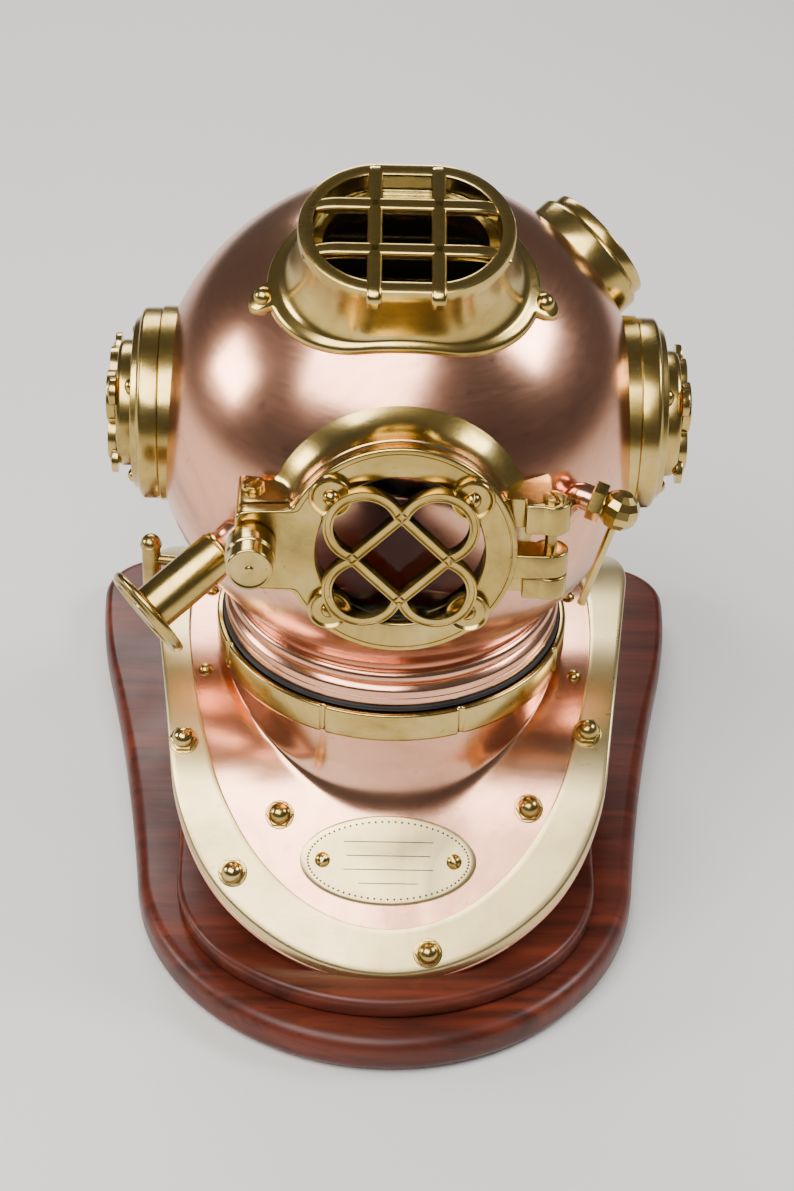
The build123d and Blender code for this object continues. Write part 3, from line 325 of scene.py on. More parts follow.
def arch_seat(x, y, lift=0.0):
    """A seat on the arch at a plan place, square to it."""
    over = max(SADDLE_FRONT - y, y - SADDLE_BACK, 0)
    angle = np.arcsin(min(over / SADDLE_RADIUS, np.sqrt(0.5)))
    side = -1 if y < SADDLE_FRONT else 1
    out = np.array([0, side * np.sin(angle), np.cos(angle)])
    return Seat(np.array([x, y, float(saddle(np.float64(y), 0.0))]) + out * lift, out, (1, 0, 0))


# Meshes


def sheet_faces(rows, columns, wrap_rows, wrap_columns, start):
    """The quads of a grid, as index arrays."""
    i = np.arange(rows if wrap_rows else rows - 1)[:, None]
    j = np.arange(columns if wrap_columns else columns - 1)[None, :]
    a = i * columns + j
    b = ((i + 1) % rows) * columns + j
    c = ((i + 1) % rows) * columns + (j + 1) % columns
    d = i * columns + (j + 1) % columns
    return np.stack(np.broadcast_arrays(a, b, c, d), -1).reshape(-1, 4) + start


def finish_mesh(piece, crease=35.0, recalculate=True):
    """Merges a mesh's doubles, turns its faces outwards and shades it smooth up to a crease angle."""
    shape = bmesh.new()
    shape.from_mesh(piece.data)
    bmesh.ops.remove_doubles(shape, verts=shape.verts, dist=2e-6)
    bmesh.ops.dissolve_degenerate(shape, edges=shape.edges, dist=1e-7)
    if recalculate:
        bmesh.ops.recalc_face_normals(shape, faces=shape.faces)
    shape.to_mesh(piece.data)
    shape.free()
    piece.data.shade_smooth()
    piece.data.set_sharp_from_angle(angle=np.radians(crease))


def made(name, sheets, finish, body, nodes=(), crease=35.0, keep=None):
    """A piece from sheets in millimetres: each is a grid, and whether its rows and its columns close."""
    points, faces, start = [], [], 0
    for grid, wrap_rows, wrap_columns in sheets:
        rows, columns = grid.shape[:2]
        faces.append(sheet_faces(rows, columns, wrap_rows, wrap_columns, start))
        points.append(grid.reshape(-1, 3))
        start += rows * columns
    points, faces = np.vstack(points) * MM, np.vstack(faces)
    if keep is not None:
        faces = faces[keep(points[faces].mean(1) / MM)]
    mesh = bpy.data.meshes.new(name)
    mesh.from_pydata(points.tolist(), [], faces.tolist())
    piece = bpy.data.objects.new(name, mesh)
    bpy.context.scene.collection.objects.link(piece)
    finish_mesh(piece, crease)
    mesh.materials.append(finishes()[finish])
    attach(piece, body)
    if nodes:
        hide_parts(*nodes)
    return piece


KINDS = {
    "wood": ("wood_varnished", "wood"),
    "copper": ("copper_polished", "copper"),
    "brass": ("brass_polished", "brass"),
    "rod": ("brass_polished", "brass"),
    "rubber": ("rubber_black", "rubber"),
    "pane": ("glass_clear", "glass"),
}


def dressed(node, kind, sheets, body="bonnet", crease=35.0):
    """A piece that takes one frame node's place, named after it and its kind."""
    finish, slot = KINDS[kind]
    return made(f"{node}_{kind}", sheets, finish, body, [node], crease)


def ring(grid):
    """A sheet closed both ways, as a turned ring is."""
    return grid, True, True


def turned(grid):
    """A sheet whose rows close and whose columns end on the axis."""
    return grid, True, False


def bar(grid):
    """A capped sheet carried along a path."""
    return capped(grid), False, True


def hoop(seat, inner, outer, low, high, edge, steps, count):
    """A flat ring with eased edges."""
    corners = [(inner, low), (outer, low), (outer, high), (inner, high)]
    return ring(spun(seat, soften(corners, edge, steps), count))


def plug(seat, radius, low, high, edge, steps, count):
    """A round plate with eased rims."""
    corners = [(0, low), (radius, low), (radius, high), (0, high)]
    return turned(spun(seat, soften(corners, (0, edge, edge, 0), steps), count))


def carry_over(node, kind):
    """A merged, smooth-shaded copy of a bonnet node of the frame."""
    finish, slot = KINDS[kind]
    piece = bpy.data.objects.new(node + "_dressed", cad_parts[node].data.copy())
    bpy.context.scene.collection.objects.link(piece)
    finish_mesh(piece, crease=30.0, recalculate=False)
    piece.data.materials.clear()
    piece.data.materials.append(finishes()[finish])
    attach(piece, "bonnet")
    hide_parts(node)
    return piece


def ball_height(radius, rim, height):
    """A shallow cap's height at a radius: part of the ball that passes its rim and its top."""
    ball = (rim**2 + height**2) / (2 * height)
    return np.sqrt(np.maximum(ball**2 - radius**2, 0)) - ball + height


def dome(radius, height, steps=7):
    """A cap's profile from its rim to the axis: part of a circle."""
    r = radius * np.cos(np.linspace(0, 1, steps) * np.pi / 2)
    return np.stack([r, ball_height(r, radius, height)], 1)


def half_disc(radius, gap, turn, count):
    """One half of a slotted head: its middle, and its reach by angle up to the rim and the slot's side."""
    middle = 0.45 * radius * np.array([np.cos(turn), np.sin(turn)])
    angle = around(count)
    cosine = np.cos(angle - turn)
    flat = np.where(cosine < 0, gap / np.maximum(-cosine, 1e-9), 1e9)
    return middle, np.minimum(exit_circle(angle, (0, 0), radius, middle), flat)


def dome_screw(seat, radius, height, turn=None, count=32):
    """A round-headed screw: a dome, split in two by a driver slot if a turn is given."""
    if turn is None:
        profile = np.vstack([[(0, -0.4), (radius, -0.4), (radius, 0)], dome(radius, height)[1:]])
        return [turned(spun(seat, profile, count))]
    waist = 0.98 * radius
    core = [(0, -0.4), (waist, -0.4), (waist, 0.12 * height), (0, 0.45 * height)]
    sheets = [turned(spun(seat, core, count))]
    share = np.array([0, 0.35, 0.7, 0.92, 1.0])[None, :]
    for way in (turn, turn + np.pi):
        middle, reach = half_disc(radius, 0.32 * radius, way, count)
        angle = around(count)[:, None]
        x = middle[0] + reach[:, None] * share * np.cos(angle)
        y = middle[1] + reach[:, None] * share * np.sin(angle)
        grid = seat.place(x, y, np.maximum(ball_height(np.hypot(x, y), radius, height), 0))
        foot = seat.place(x[:, -1:], y[:, -1:], -0.3)
        sheets.append(turned(np.concatenate([grid, foot, seat.place(*middle, -0.3) + 0 * foot], 1)))
    return sheets


def flat_screw(seat, radius, height, turn, count=36):
    """A cheese-headed screw: two half discs beside a driver slot, on a lower disc."""
    sheets = [turned(slab(seat, np.full(count, radius), -0.3, height * 0.45, 0.1))]
    for way in (turn, turn + np.pi):
        middle, reach = half_disc(radius, 0.33 * radius, way, count)
        sheets.append(turned(slab(seat, reach, 0, height, 0.22, middle)))
    return sheets


def hexagon(width, count=72):
    """A hexagon's reach: its half width over the cosine from the flat's middle."""
    return width / 2 / np.cos(np.mod(around(count), np.pi / 3) - np.pi / 6)


def cap_nut(seat, width=8.0):
    """A washer, a hexagon and the domed cap on it."""
    bend = np.linspace(0.1, np.pi / 2, 9)
    cap = np.stack([CAP_RADIUS * np.cos(bend), 2.8 + CAP_RADIUS * np.sin(bend)], 1)
    return [
        turned(slab(seat, hexagon(width), 0, 2.6, 0.35)),
        turned(spun(seat, np.vstack([[(0, 2.2), (CAP_RADIUS, 2.2), (CAP_RADIUS, 2.8)], cap]), 40)),
        plug(seat, 4.9, -0.2, 0.55, 0.25, 3, 40),
    ]


# Finishes


def shade(colour, *shares):
    """A colour scaled by one share, or by one for each of its channels."""
    return tuple(np.array(colour) * shares)


class Finish:
    """A node material under construction, with short ways to add and join nodes."""

    def __init__(self, name):
        self.material = bpy.data.materials.new(name)
        self.material.use_nodes = True
        self.nodes = self.material.node_tree.nodes
        self.links = self.material.node_tree.links
        self.shader = self.nodes["Principled BSDF"]
        self.place = self.nodes.new("ShaderNodeTexCoord").outputs["Object"]

    def enter(self, socket, value):
        """Joins an output to a socket, or sets the socket to a value."""
        if hasattr(value, "is_linked"):
            self.links.new(value, socket)
        else:
            socket.default_value = value

    def finished(self, **inputs):
        """The material, with the shader's inputs entered by their names."""
        for key, value in inputs.items():
            self.enter(self.shader.inputs[key.replace("_", " ")], value)
        return self.material

    def node(self, kind, output, inputs, **settings):
        """A new node's output, with its settings set and its inputs entered."""
        node = self.nodes.new("ShaderNode" + kind)
        for key, value in settings.items():
            setattr(node, key, value)
        for key, value in inputs.items():
            self.enter(node.inputs[key], value)
        return node.outputs[output]

    def stretched(self, scale, turn=(0, 0, 0)):
        """Object coordinates scaled along each axis."""
        return self.node("Mapping", "Vector", {"Vector": self.place, "Scale": scale, "Rotation": turn})

    def noise(self, scale, detail=4.0, rough=0.55, warp=0.0, vector=None):
        """Fractal noise over the object's own coordinates."""
        inputs = {"Scale": scale, "Detail": detail, "Roughness": rough, "Distortion": warp}
        return self.node("TexNoise", "Fac", {"Vector": vector or self.place, **inputs})

    def ramp(self, value, stops):
        """A value turned into colours at stops."""
        node = self.nodes.new("ShaderNodeValToRGB")
        band = node.color_ramp
        while len(band.elements) < len(stops):
            band.elements.new(0.5)
        for element, (where, colour) in zip(band.elements, stops):
            element.position, element.color = where, (*colour, 1.0)
        self.enter(node.inputs["Fac"], value)
        return node.outputs["Color"]

    def span(self, value, low, high, start=0.0, end=1.0):
        """A value's run from low to high, mapped to start to end."""
        inputs = {"From Min": low, "From Max": high, "To Min": start, "To Max": end}
        return self.node("MapRange", "Result", {"Value": value, **inputs})

    def mixed(self, share, first, second):
        """An output mixed towards a plain colour by a share."""
        return self.node("Mix", 2, {0: share, 6: first, 7: (*second, 1.0)}, data_type="RGBA")

    def maths(self, operation, first, second):
        """Two numbers joined by an operation."""
        return self.node("Math", 0, {0: first, 1: second}, operation=operation)

    def relief(self, height, depth, strength, under=None):
        """A bump, over another if one is given."""
        inputs = {"Distance": depth * MM, "Strength": strength, "Height": height}
        return self.node("Bump", "Normal", {**inputs, "Normal": under} if under else inputs)


def metal(name, clean, dull, dark, shine, grain, spots):
    """Polished metal under thin tarnish: clouds of dull colour, dark flecks, hairlines and uneven gloss."""
    work = Finish(name)
    clouds = work.noise(grain, 6.0, 0.62, 0.6)
    flecks = work.noise(grain * 14, 3.0, 0.5)
    strokes = work.noise(grain * 9, 2.0, 0.6, 0.0, work.stretched((1.0, 1.0, 7.0), (0.5, 0.3, 0.2)))
    stains = work.noise(grain * 0.45, 5.0, 0.6, 1.1)
    tone = work.ramp(clouds, ((0.34, clean), (0.54, dull), (0.76, dark)))
    tone = work.mixed(work.span(stains, 0.56, 0.74, 0.0, 0.7), tone, shade(dark, 0.8))
    tone = work.mixed(work.span(flecks, 0.66, 0.80, 0.0, spots), tone, shade(dark, 0.35))
    gloss = work.maths("ADD", clouds, work.maths("MULTIPLY", strokes, 0.25))
    dents = work.relief(work.noise(grain * 0.9, 2.0, 0.4), 0.9, 0.22)
    return work.finished(
        Base_Color=tone,
        Metallic=1.0,
        Roughness=work.span(gloss, 0.35, 0.95, *shine),
        Normal=work.relief(strokes, 0.02, 0.25, dents),
    )


def wood(name, light):
    """Varnished red wood: long grain across the boards, fine pores and a clear coat."""
    work = Finish(name)
    dark = shade(light, 0.22)
    along = work.stretched((3.6, 34.0, 34.0))
    bands = work.noise(1.8, 6.0, 0.62, 1.2, along)
    pores = work.noise(10.0, 4.0, 0.7, 0.3, along)
    tone = work.ramp(bands, ((0.30, dark), (0.50, shade(light, 0.55)), (0.72, light)))
    grain = work.relief(pores, 0.12, 0.35)
    return work.finished(
        Base_Color=work.mixed(work.span(pores, 0.56, 0.70, 0.0, 0.55), tone, shade(dark, 0.3)),
        Roughness=work.span(work.noise(30.0, 3.0), 0.3, 0.7, 0.34, 0.50),
        Coat_Weight=0.12,
        Coat_Roughness=0.26,
        Specular_IOR_Level=0.28,
        Normal=work.relief(work.noise(14.0, 3.0, 0.5, 0.4), 0.8, 0.18, grain),
    )


def rubber(name):
    """Old black rubber: matt, with faint grey bloom."""
    work = Finish(name)
    bloom = work.noise(90.0, 4.0)
    return work.finished(
        Base_Color=work.ramp(bloom, ((0.4, (0.008, 0.008, 0.009)), (0.75, (0.035, 0.032, 0.03)))),
        Roughness=work.span(bloom, 0.3, 0.7, 0.45, 0.7),
        Normal=work.relief(work.noise(700.0, 2.0), 0.03, 0.3),
    )


def glass(name):
    """A clear pane, dusty in places."""
    work = Finish(name)
    return work.finished(
        Base_Color=(0.92, 0.96, 0.95, 1.0),
        Transmission_Weight=1.0,
        IOR=1.2,
        Roughness=work.span(work.noise(60.0, 5.0), 0.45, 0.8, 0.02, 0.16),
    )


def paint(name, colour, roughness):
    """Dark filling of a stamped mark, slightly uneven."""
    work = Finish(name)
    tone = work.noise(300.0, 3.0)
    return work.finished(
        Base_Color=work.ramp(tone, ((0.3, colour), (0.8, shade(colour, 1.8)))),
        Roughness=work.span(tone, 0.3, 0.7, roughness, roughness + 0.15),
        Normal=work.relief(tone, 0.02, 0.2),
    )


def surface(name, colour, roughness):
    """A plain studio surface with a barely uneven tone."""
    work = Finish(name)
    tone = work.ramp(work.noise(3.0, 2.0), ((0.3, colour), (0.7, shade(colour, 0.985))))
    return work.finished(Base_Color=tone, Roughness=roughness)


def finishes():
    """Every finish, made once and found by name after that."""
    settings = bpy.context.scene.helmet_finish
    copper, brass = settings.copper[:], settings.brass[:]
    copper_dull, brass_dull = shade(copper, 0.84, 0.74, 0.74), shade(brass, 0.80, 0.74, 0.55)
    satin, satin_dull = shade(brass, 1.16, 1.22, 1.60), shade(brass, 1.02, 1.06, 1.3)
    # Near-black copper for the bonnet's inside: painted shade, standing in for the shadow the interior lies
    # in
    painted_shade_tones = ((0.030, 0.018, 0.013), (0.018, 0.012, 0.009), (0.010, 0.007, 0.005))
    makers = {
        "copper_polished": (metal, copper, copper_dull, (0.34, 0.17, 0.12), (0.12, 0.30), 16.0, 0.45),
        "brass_polished": (metal, brass, brass_dull, (0.24, 0.17, 0.07), (0.12, 0.32), 34.0, 0.6),
        "brass_satin": (metal, satin, satin_dull, (0.42, 0.34, 0.20), (0.24, 0.40), 20.0, 0.3),
        "wood_varnished": (wood, settings.wood[:]),
        "copper_dark": (metal, *painted_shade_tones, (0.45, 0.65), 30.0, 0.5),
        "rubber_black": (rubber,),
        "glass_clear": (glass,),
        "stamp_dark": (paint, (0.03, 0.02, 0.01), 0.45),
    }
    ready = bpy.data.materials
    return {name: ready.get(name) or maker(name, *options) for name, (maker, *options) in makers.items()}


# Settings


class HelmetSizes(bpy.types.PropertyGroup):
    """Sizes a user would change."""

    collar_notch: bpy.props.FloatProperty(
        name="Collar notch depth", description="Depth of the collar's side marks, in millimetres",
        default=0.9, min=0.0, max=2.0,
    )
    dot_count: bpy.props.IntProperty(
        name="Name plate dots", description="Number of stamped dots round the name plate",
        default=76, min=12, max=160,
    )
    band_edge: bpy.props.FloatProperty(
        name="Band edge", description="Rounding of the band's edges, in millimetres",
        default=0.7, min=0.1, max=1.2,
    )
    board_round: bpy.props.FloatProperty(
        name="Board rounding", description="Rounding of the lower board's top edge, in millimetres",
        default=5.0, min=1.0, max=8.0,
    )
    bonnet_rows: bpy.props.IntProperty(
        name="Bonnet rows", description="Rows of faces from the bonnet's crown to its neck",
        default=150, min=60, max=170,
    )


class HelmetFinish(bpy.types.PropertyGroup):
    """Colours and light a user would change."""

    copper: bpy.props.FloatVectorProperty(
        name="Copper", description="Clean copper colour", subtype="COLOR",
        default=(0.95, 0.53, 0.34), min=0, max=1,
    )
    brass: bpy.props.FloatVectorProperty(
        name="Brass", description="Clean brass colour", subtype="COLOR",
        default=(0.66, 0.50, 0.19), min=0, max=1,
    )
    wood: bpy.props.FloatVectorProperty(
        name="Wood", description="Lightest wood colour", subtype="COLOR",
        default=(0.15, 0.026, 0.011), min=0, max=1,
    )
    floor: bpy.props.FloatVectorProperty(
        name="Floor", description="Floor colour", subtype="COLOR",
        default=(0.78, 0.77, 0.75), min=0, max=1,
    )
    light: bpy.props.FloatProperty(
        name="Light", description="Strength of the studio lights", default=1.0, min=0.1, max=4.0
    )


# The studio and the pieces


class HELMET_OT_stage(bpy.types.Operator):
    """Lay the pale floor, hang the soft lights and set the camera"""

    bl_idname = "helmet.stage"
    bl_label = "Stage"

    def execute(self, context):
        settings = context.scene.helmet_finish
        mesh = bpy.data.meshes.new("floor")
        corners = [(3 * x, 3 * y, -0.0005) for x, y in ((-1, -1), (1, -1), (1, 1), (-1, 1))]
        mesh.from_pydata(corners, [], [(0, 1, 2, 3)])
        floor = bpy.data.objects.new("floor", mesh)
        context.scene.collection.objects.link(floor)
        mesh.materials.append(surface("floor_pale", settings.floor[:], 0.6))
        world = context.scene.world or bpy.data.worlds.new("studio")
        context.scene.world = world
        world.use_nodes = True
        inputs = world.node_tree.nodes["Background"].inputs
        inputs["Color"].default_value = (0.90, 0.86, 0.82, 1.0)
        inputs["Strength"].default_value = 0.11
        for name, place, size, power, tint in (
            ("key", (-0.30, -0.62, 1.05), 1.0, 21.0, (1.0, 0.97, 0.94)),
            ("window", (0.95, 0.05, 0.90), 0.5, 9.0, (0.96, 0.98, 1.0)),
            ("back", (-0.15, 1.05, 0.85), 0.7, 9.0, (1.0, 0.98, 0.95)),
            ("left", (-1.10, 0.05, 0.50), 0.4, 6.0, (1.0, 0.96, 0.9)),
        ):
            lamp = bpy.data.lights.new(name, "AREA")
            lamp.shape, lamp.size, lamp.size_y = "RECTANGLE", size, size * 0.7
            lamp.energy, lamp.color = power * settings.light, tint
            holder = bpy.data.objects.new(name, lamp)
            holder.location = place
            aim = Vector((0, -0.02, 0.15)) - Vector(place)
            holder.rotation_euler = aim.to_track_quat("-Z", "Y").to_euler()
            context.scene.collection.objects.link(holder)
        lens = bpy.data.cameras.new("camera")
        lens.sensor_fit, lens.sensor_height = "VERTICAL", 36.0
        lens.lens = 36.0 * 2640.0 / 1191.0
        lens.clip_start, lens.clip_end = 0.05, 20.0
        camera = bpy.data.objects.new("camera", lens)
        context.scene.collection.objects.link(camera)
        azimuth, pitch, roll = np.radians((-1.5, 36.7, 2.0))
        level = np.array([np.cos(azimuth), np.sin(azimuth), 0.0])
        ahead = np.array([-np.sin(azimuth), np.cos(azimuth), 0.0])
        forward = ahead * np.cos(pitch) - np.array([0.0, 0.0, np.sin(pitch)])
        rise = np.cross(level, forward)
        right = level * np.cos(roll) + rise * np.sin(roll)
        up = -level * np.sin(roll) + rise * np.cos(roll)
        turn = Matrix((right, up, -forward)).transposed().to_4x4()
        turn.translation = Vector((np.array([-17.3, -727.2, 469.8]) + CENTRE) * MM)
        camera.matrix_world = turn
        context.scene.camera = camera
        return {"FINISHED"}


class HELMET_OT_base(bpy.types.Operator):
    """Build the two wood boards"""

    bl_idname = "helmet.base"
    bl_label = "Wood base"

    def execute(self, context):
        board_round = context.scene.helmet_sizes.board_round
        for node, stops, low, high, edge, steps in (
            ("base_board", BOARD_STOPS, 0.0, PLINTH_FOOT, board_round, 7),
            ("plinth_board", PLINTH_STOPS, PLINTH_FOOT, PLINTH_TOP, 2.4, 5),
        ):
            board = slab(GROUND, outline_reach(stops, around(360)), low, high, edge, steps=steps)
            dressed(node, "wood", [turned(board)], "root")
        return {"FINISHED"}


class HELMET_OT_breastplate(bpy.types.Operator):
    """Build the copper breastplate, its band, nuts, screws and blank name plate"""

    bl_idname = "helmet.breastplate"
    bl_label = "Breastplate"

    def execute(self, context):
        sizes = context.scene.helmet_sizes
        angle = around(300)[:, None]
        outer = outline_reach(PLATE_STOPS, angle[:, 0])[:, None]
        # Radius runs along the flare by its own arc, then straight out to the outline
        neck = FLARE_RADIUS + FLARE_SWEEP * (1 - np.cos(np.linspace(0, np.pi / 4, 26)[None, :]))
        knee = np.minimum(neck[:, -1:], outer - 3)
        neck = FLARE_RADIUS + (neck - FLARE_RADIUS) * (knee - FLARE_RADIUS) / (neck[:, -1:] - FLARE_RADIUS)
        rest = neck[:, -1:] + (outer - neck[:, -1:]) * np.linspace(0, 1, 25)[None, 1:]
        radius = np.concatenate([neck, rest], 1)
        x, y = radius * np.cos(angle), radius * np.sin(angle)
        top = np.stack([x, y, copper_top(x, y)], -1)
        under = top - WALL * copper_normal(x, y)
        way = np.stack([np.cos(angle), np.sin(angle)], -1)
        under[:, -1, :2] = top[:, -1, :2]
        under[:, 0, :2] = way[:, 0] * (FLARE_RADIUS - WALL)
        # Above the flare the neck stands upright, from the collar down to each sheet's first row
        drop = np.linspace(0, 1, 9)[None, :-1, None]
        wall, lining = (
            np.concatenate([way * reach + 0 * drop, COLLAR_FOOT + (start - COLLAR_FOOT) * drop], 2)
            for reach, start in ((FLARE_RADIUS, top[:, :1, 2:]), (FLARE_RADIUS - WALL, under[:, :1, 2:]))
        )
        shell = np.concatenate([wall, top, under[:, ::-1], lining[:, ::-1]], 1)
        dressed("breastplate", "copper", [ring(shell)], "root", 50)

        inner = outline_reach(INNER_STOPS, angle[:, 0])[:, None]
        rim = list(zip(*rounding(sizes.band_edge, 3)))
        rows = [(0, 0.0, 0.05)] + [(0, inset, BAND - drop) for inset, drop in rim[::-1]]
        rows += [(share, 0.0, BAND) for share in (0.15, 0.3, 0.5, 0.7, 0.85)]
        rows += [(1, -inset, BAND - drop) for inset, drop in rim] + [(1, 0.0, 0.05)]
        rows += [(share, 0.0, 0.05) for share in (0.75, 0.5, 0.25)]
        share, shift, lift = (np.array(column)[None, :] for column in zip(*rows))
        radius = inner + (outer - inner) * share + shift
        x, y = radius * np.cos(angle), radius * np.sin(angle)
        z = saddle(y, 0.0) + (saddle(y, BAND) - saddle(y, 0.0)) * lift / BAND
        band = ring(np.stack([x, y, z], -1))
        made("brail_band_brass", [band], "brass_satin", "root", ["brail_band"], crease=40)

        for name, node, places, lift in (
            ("band_nuts_brass", "band_cap_bolts", BAND_BOLTS, BAND),
            ("plate_nuts_brass", "plate_cap_bolts", PLATE_BOLTS, 0.0),
        ):
            nuts = [sheet for place in places for sheet in cap_nut(arch_seat(*place, lift))]
            made(name, nuts, "brass_polished", "root", [node])
        screws = [sheet for place in COLLAR_SCREWS for sheet in dome_screw(arch_seat(*place), 2.6, 2.1)]
        dressed("collar_screws", "brass", screws, "root")

        seat = arch_seat(0.0, -72.5)

        def on_copper(across, along, lift):
            """The point over a place on the plate's plane: slid along its normal to the copper."""
            across, along = np.broadcast_arrays(np.asarray(across, float), np.asarray(along, float))
            depth = np.zeros_like(across)
            for _ in range(24):
                point = seat.place(across, along, depth)
                depth = depth - 0.7 * (point[..., 2] - copper_top(point[..., 0], point[..., 1]))
            return seat.place(across, along, depth + lift)

        turn = around(160)[:, None]
        spread = np.array([0, 0.2, 0.4, 0.6, 0.8, 0.93, 0.985, 1.0, 1.0, 1.0, 0.5, 0.0])[None, :]
        lift = np.array([1.2, 1.2, 1.2, 1.2, 1.2, 1.2, 1.15, 0.95, 0.5, 0.05, 0.05, 0.05])[None, :]
        plate = on_copper(29.5 * spread * np.cos(turn), 15.0 * spread * np.sin(turn), lift)
        made("nameplate_brass", [turned(plate)], "brass_satin", "root", ["nameplate"], crease=60)
        screws = []
        for side in (-1, 1):
            foot = on_copper(22.0 * side, 0.0, 1.2)
            screws += dome_screw(Seat(foot, seat.out, (1, 0, 0)), 2.6, 2.0, 0.6 * side)
        dressed("nameplate_screws", "brass", screws, "root")
        marks = []
        small = around(10)[:, None]
        size = np.array([0, 0.36, 0.40, 0.40])[None, :]
        high = np.array([1.27, 1.25, 1.2, 1.1])[None, :]
        for dot in around(sizes.dot_count):
            across = 26.9 * np.cos(dot) + size * np.cos(small)
            along = 12.9 * np.sin(dot) + size * np.sin(small)
            marks.append(turned(on_copper(across, along, high)))
        strip = np.array([(-0.16, 1.1), (-0.16, 1.25), (0.16, 1.25), (0.16, 1.1)])
        for height, reach in ((6.2, 15.0), (1.6, 14.0), (-3.0, 15.0), (-7.6, 10.0)):
            across = np.linspace(-reach, reach, 24)[:, None]
            marks.append(bar(on_copper(across, height + strip[None, :, 0], strip[None, :, 1])))
        made("nameplate_marks", marks, "stamp_dark", "root")
        return {"FINISHED"}


class HELMET_OT_collar(bpy.types.Operator):
    """Build the notched collar and its gasket"""

    bl_idname = "helmet.collar"
    bl_label = "Collar"

    def execute(self, context):
        depth = context.scene.helmet_sizes.collar_notch
        outer, foot, top = COLLAR_RADIUS, COLLAR_FOOT, COLLAR_TOP
        corners = [(50, foot), (outer, foot), (outer, top), (58, top), (57.9, top - 0.5), (50, top - 0.5)]
        profile = soften(corners, (0.2, 1.2, 1.2, 0.3, 0.1, 0.4))

        def notched(angle, radius, height):
            """The radius less a flat-bottomed notch every 45 degrees, on the outer wall only."""
            away = np.abs(np.mod(angle, np.pi / 4) - np.pi / 8) * outer
            cut = depth / (1 + np.exp((away - 0.9) * 9))
            return radius - cut * np.clip((radius - 58.2) / 1.2, 0, 1)

        dressed("collar", "brass", [ring(spun(GROUND, profile, 960, notched))], "root")
        beads = [(50.3, 0), (57.4, 0), (57.9, 0.5), (57.4, 0.95), (57.9, 1.5), (57.4, 2), (50.3, 2)]
        beads = soften(np.array(beads) + (0, top), 0.3, 3)
        dressed("neck_gasket", "rubber", [ring(spun(GROUND, beads, 180))], "root")
        return {"FINISHED"}


class HELMET_OT_bonnet(bpy.types.Operator):
    """Build the copper bonnet with its openings, neck beads and foot"""

    bl_idname = "helmet.bonnet"
    bl_label = "Bonnet"

    def execute(self, context):
        down = np.linspace(0, np.pi * 0.75, context.scene.helmet_sizes.bonnet_rows)
        ball = np.stack([BONNET * np.sin(down), CENTRE[2] + BONNET * np.cos(down)], 1)
        # The neck's bend is an arc round a hub outside the ball, which meets the ball at 45 degrees
        hub = (BONNET + NECK_BEND) * np.sqrt(0.5) * np.array([1, -1]) + (0, CENTRE[2])
        bend = np.linspace(np.pi / 4, 0, 8)[1:]
        blend = hub + NECK_BEND * np.stack([-np.cos(bend), np.sin(bend)], 1)
        waist = blend[-1]
        bead = np.linspace(1.1, -1.1, 11)
        swell = waist - (0.6, 2.6) + np.stack([2.8 * np.cos(bead), 2.7 * np.sin(bead)], 1)
        foot = soften(
            [(waist[0] - 0.2, 111.2), (55.2, 110.9), (57.0, 109.0), (57.0, 106.4), (50.4, 106.4)],
            (0, 0.7, 0.8, 0.2, 0), 4, False,
        )
        grid = spun(GROUND, np.vstack([ball, blend, swell, foot]), 240)

        def solid(points):
            """True where a face's middle is clear of every port's cut."""
            keep = np.ones(len(points), bool)
            for seat, radius, half in (
                (FRONT, 33.0, 0), (LEFT, 27.0, 0), (RIGHT, 27.0, 0), (EXHAUST, 18.0, 0), (TOP, 22.2, 8.0),
            ):
                local = points - seat.origin
                run = np.hypot(np.maximum(np.abs(local @ seat.across) - half, 0), local @ seat.up)
                keep &= (run >= radius) | (local @ seat.out <= 0)
            return keep

        shell = made(
            "bonnet_copper", [turned(grid)], "copper_polished", "bonnet",
            ["bonnet_shell"], 50, solid,
        )
        # The wall's inner faces take the near-black copper, painted shade for the helmet's shadowed inside
        wall = shell.modifiers.new("wall", "SOLIDIFY")
        wall.thickness, wall.offset, wall.material_offset = WALL * MM, -1.0, 1
        shell.data.materials.append(finishes()["copper_dark"])
        section = soften(
            [(43.5, 91.0), (46.7, 91.0), (46.7, 103.4), (57.0, 103.4), (57.0, 106.35), (43.5, 106.35)],
            (0.3, 0.3, 0.3, 0.5, 0.4, 0.3), 3,
        )
        pieces = [ring(spun(GROUND, section, 240))]
        reach, rise = np.array([(45.1, 91.2), (49.7, 91.2), (49.7, 93.3), (45.1, 93.3)]).T
        for sector in around(4):
            way = np.radians(np.linspace(-20, 20, 24))[:, None] + sector
            pieces.append(bar(GROUND.polar(reach, way, rise)))
        dressed("bonnet_neck_ring", "copper", pieces)
        return {"FINISHED"}


def ear_reach(angle, radius):
    """The door's outline: a circle joined softly to the clamp ear's box on its left."""
    ear = np.where(np.cos(angle) < 0, exit_box(angle, (-49.5, -14.0), (49.5, 13.5)), 0.0)
    return merged(26.0, np.full_like(angle, radius), ear)


def eye(low, high, back, front, inward, cheek=None):
    """A hinge knuckle: the pin's eye, a web back to its plate, and a cheek beside the pin if given."""
    angle = around(192)
    start = (43.0, -79.0)
    corner = (HINGE_PIN[0], -back)
    web = exit_box(angle, (inward, -front), corner, start)
    reach = np.maximum(exit_circle(angle, HINGE_PIN, 5.5, start), web)
    if cheek:
        reach = np.maximum(reach, exit_box(angle, (cheek[0], -cheek[1]), corner, start))
    return turned(slab(HINGE, reach, low, high, 0.6, start))


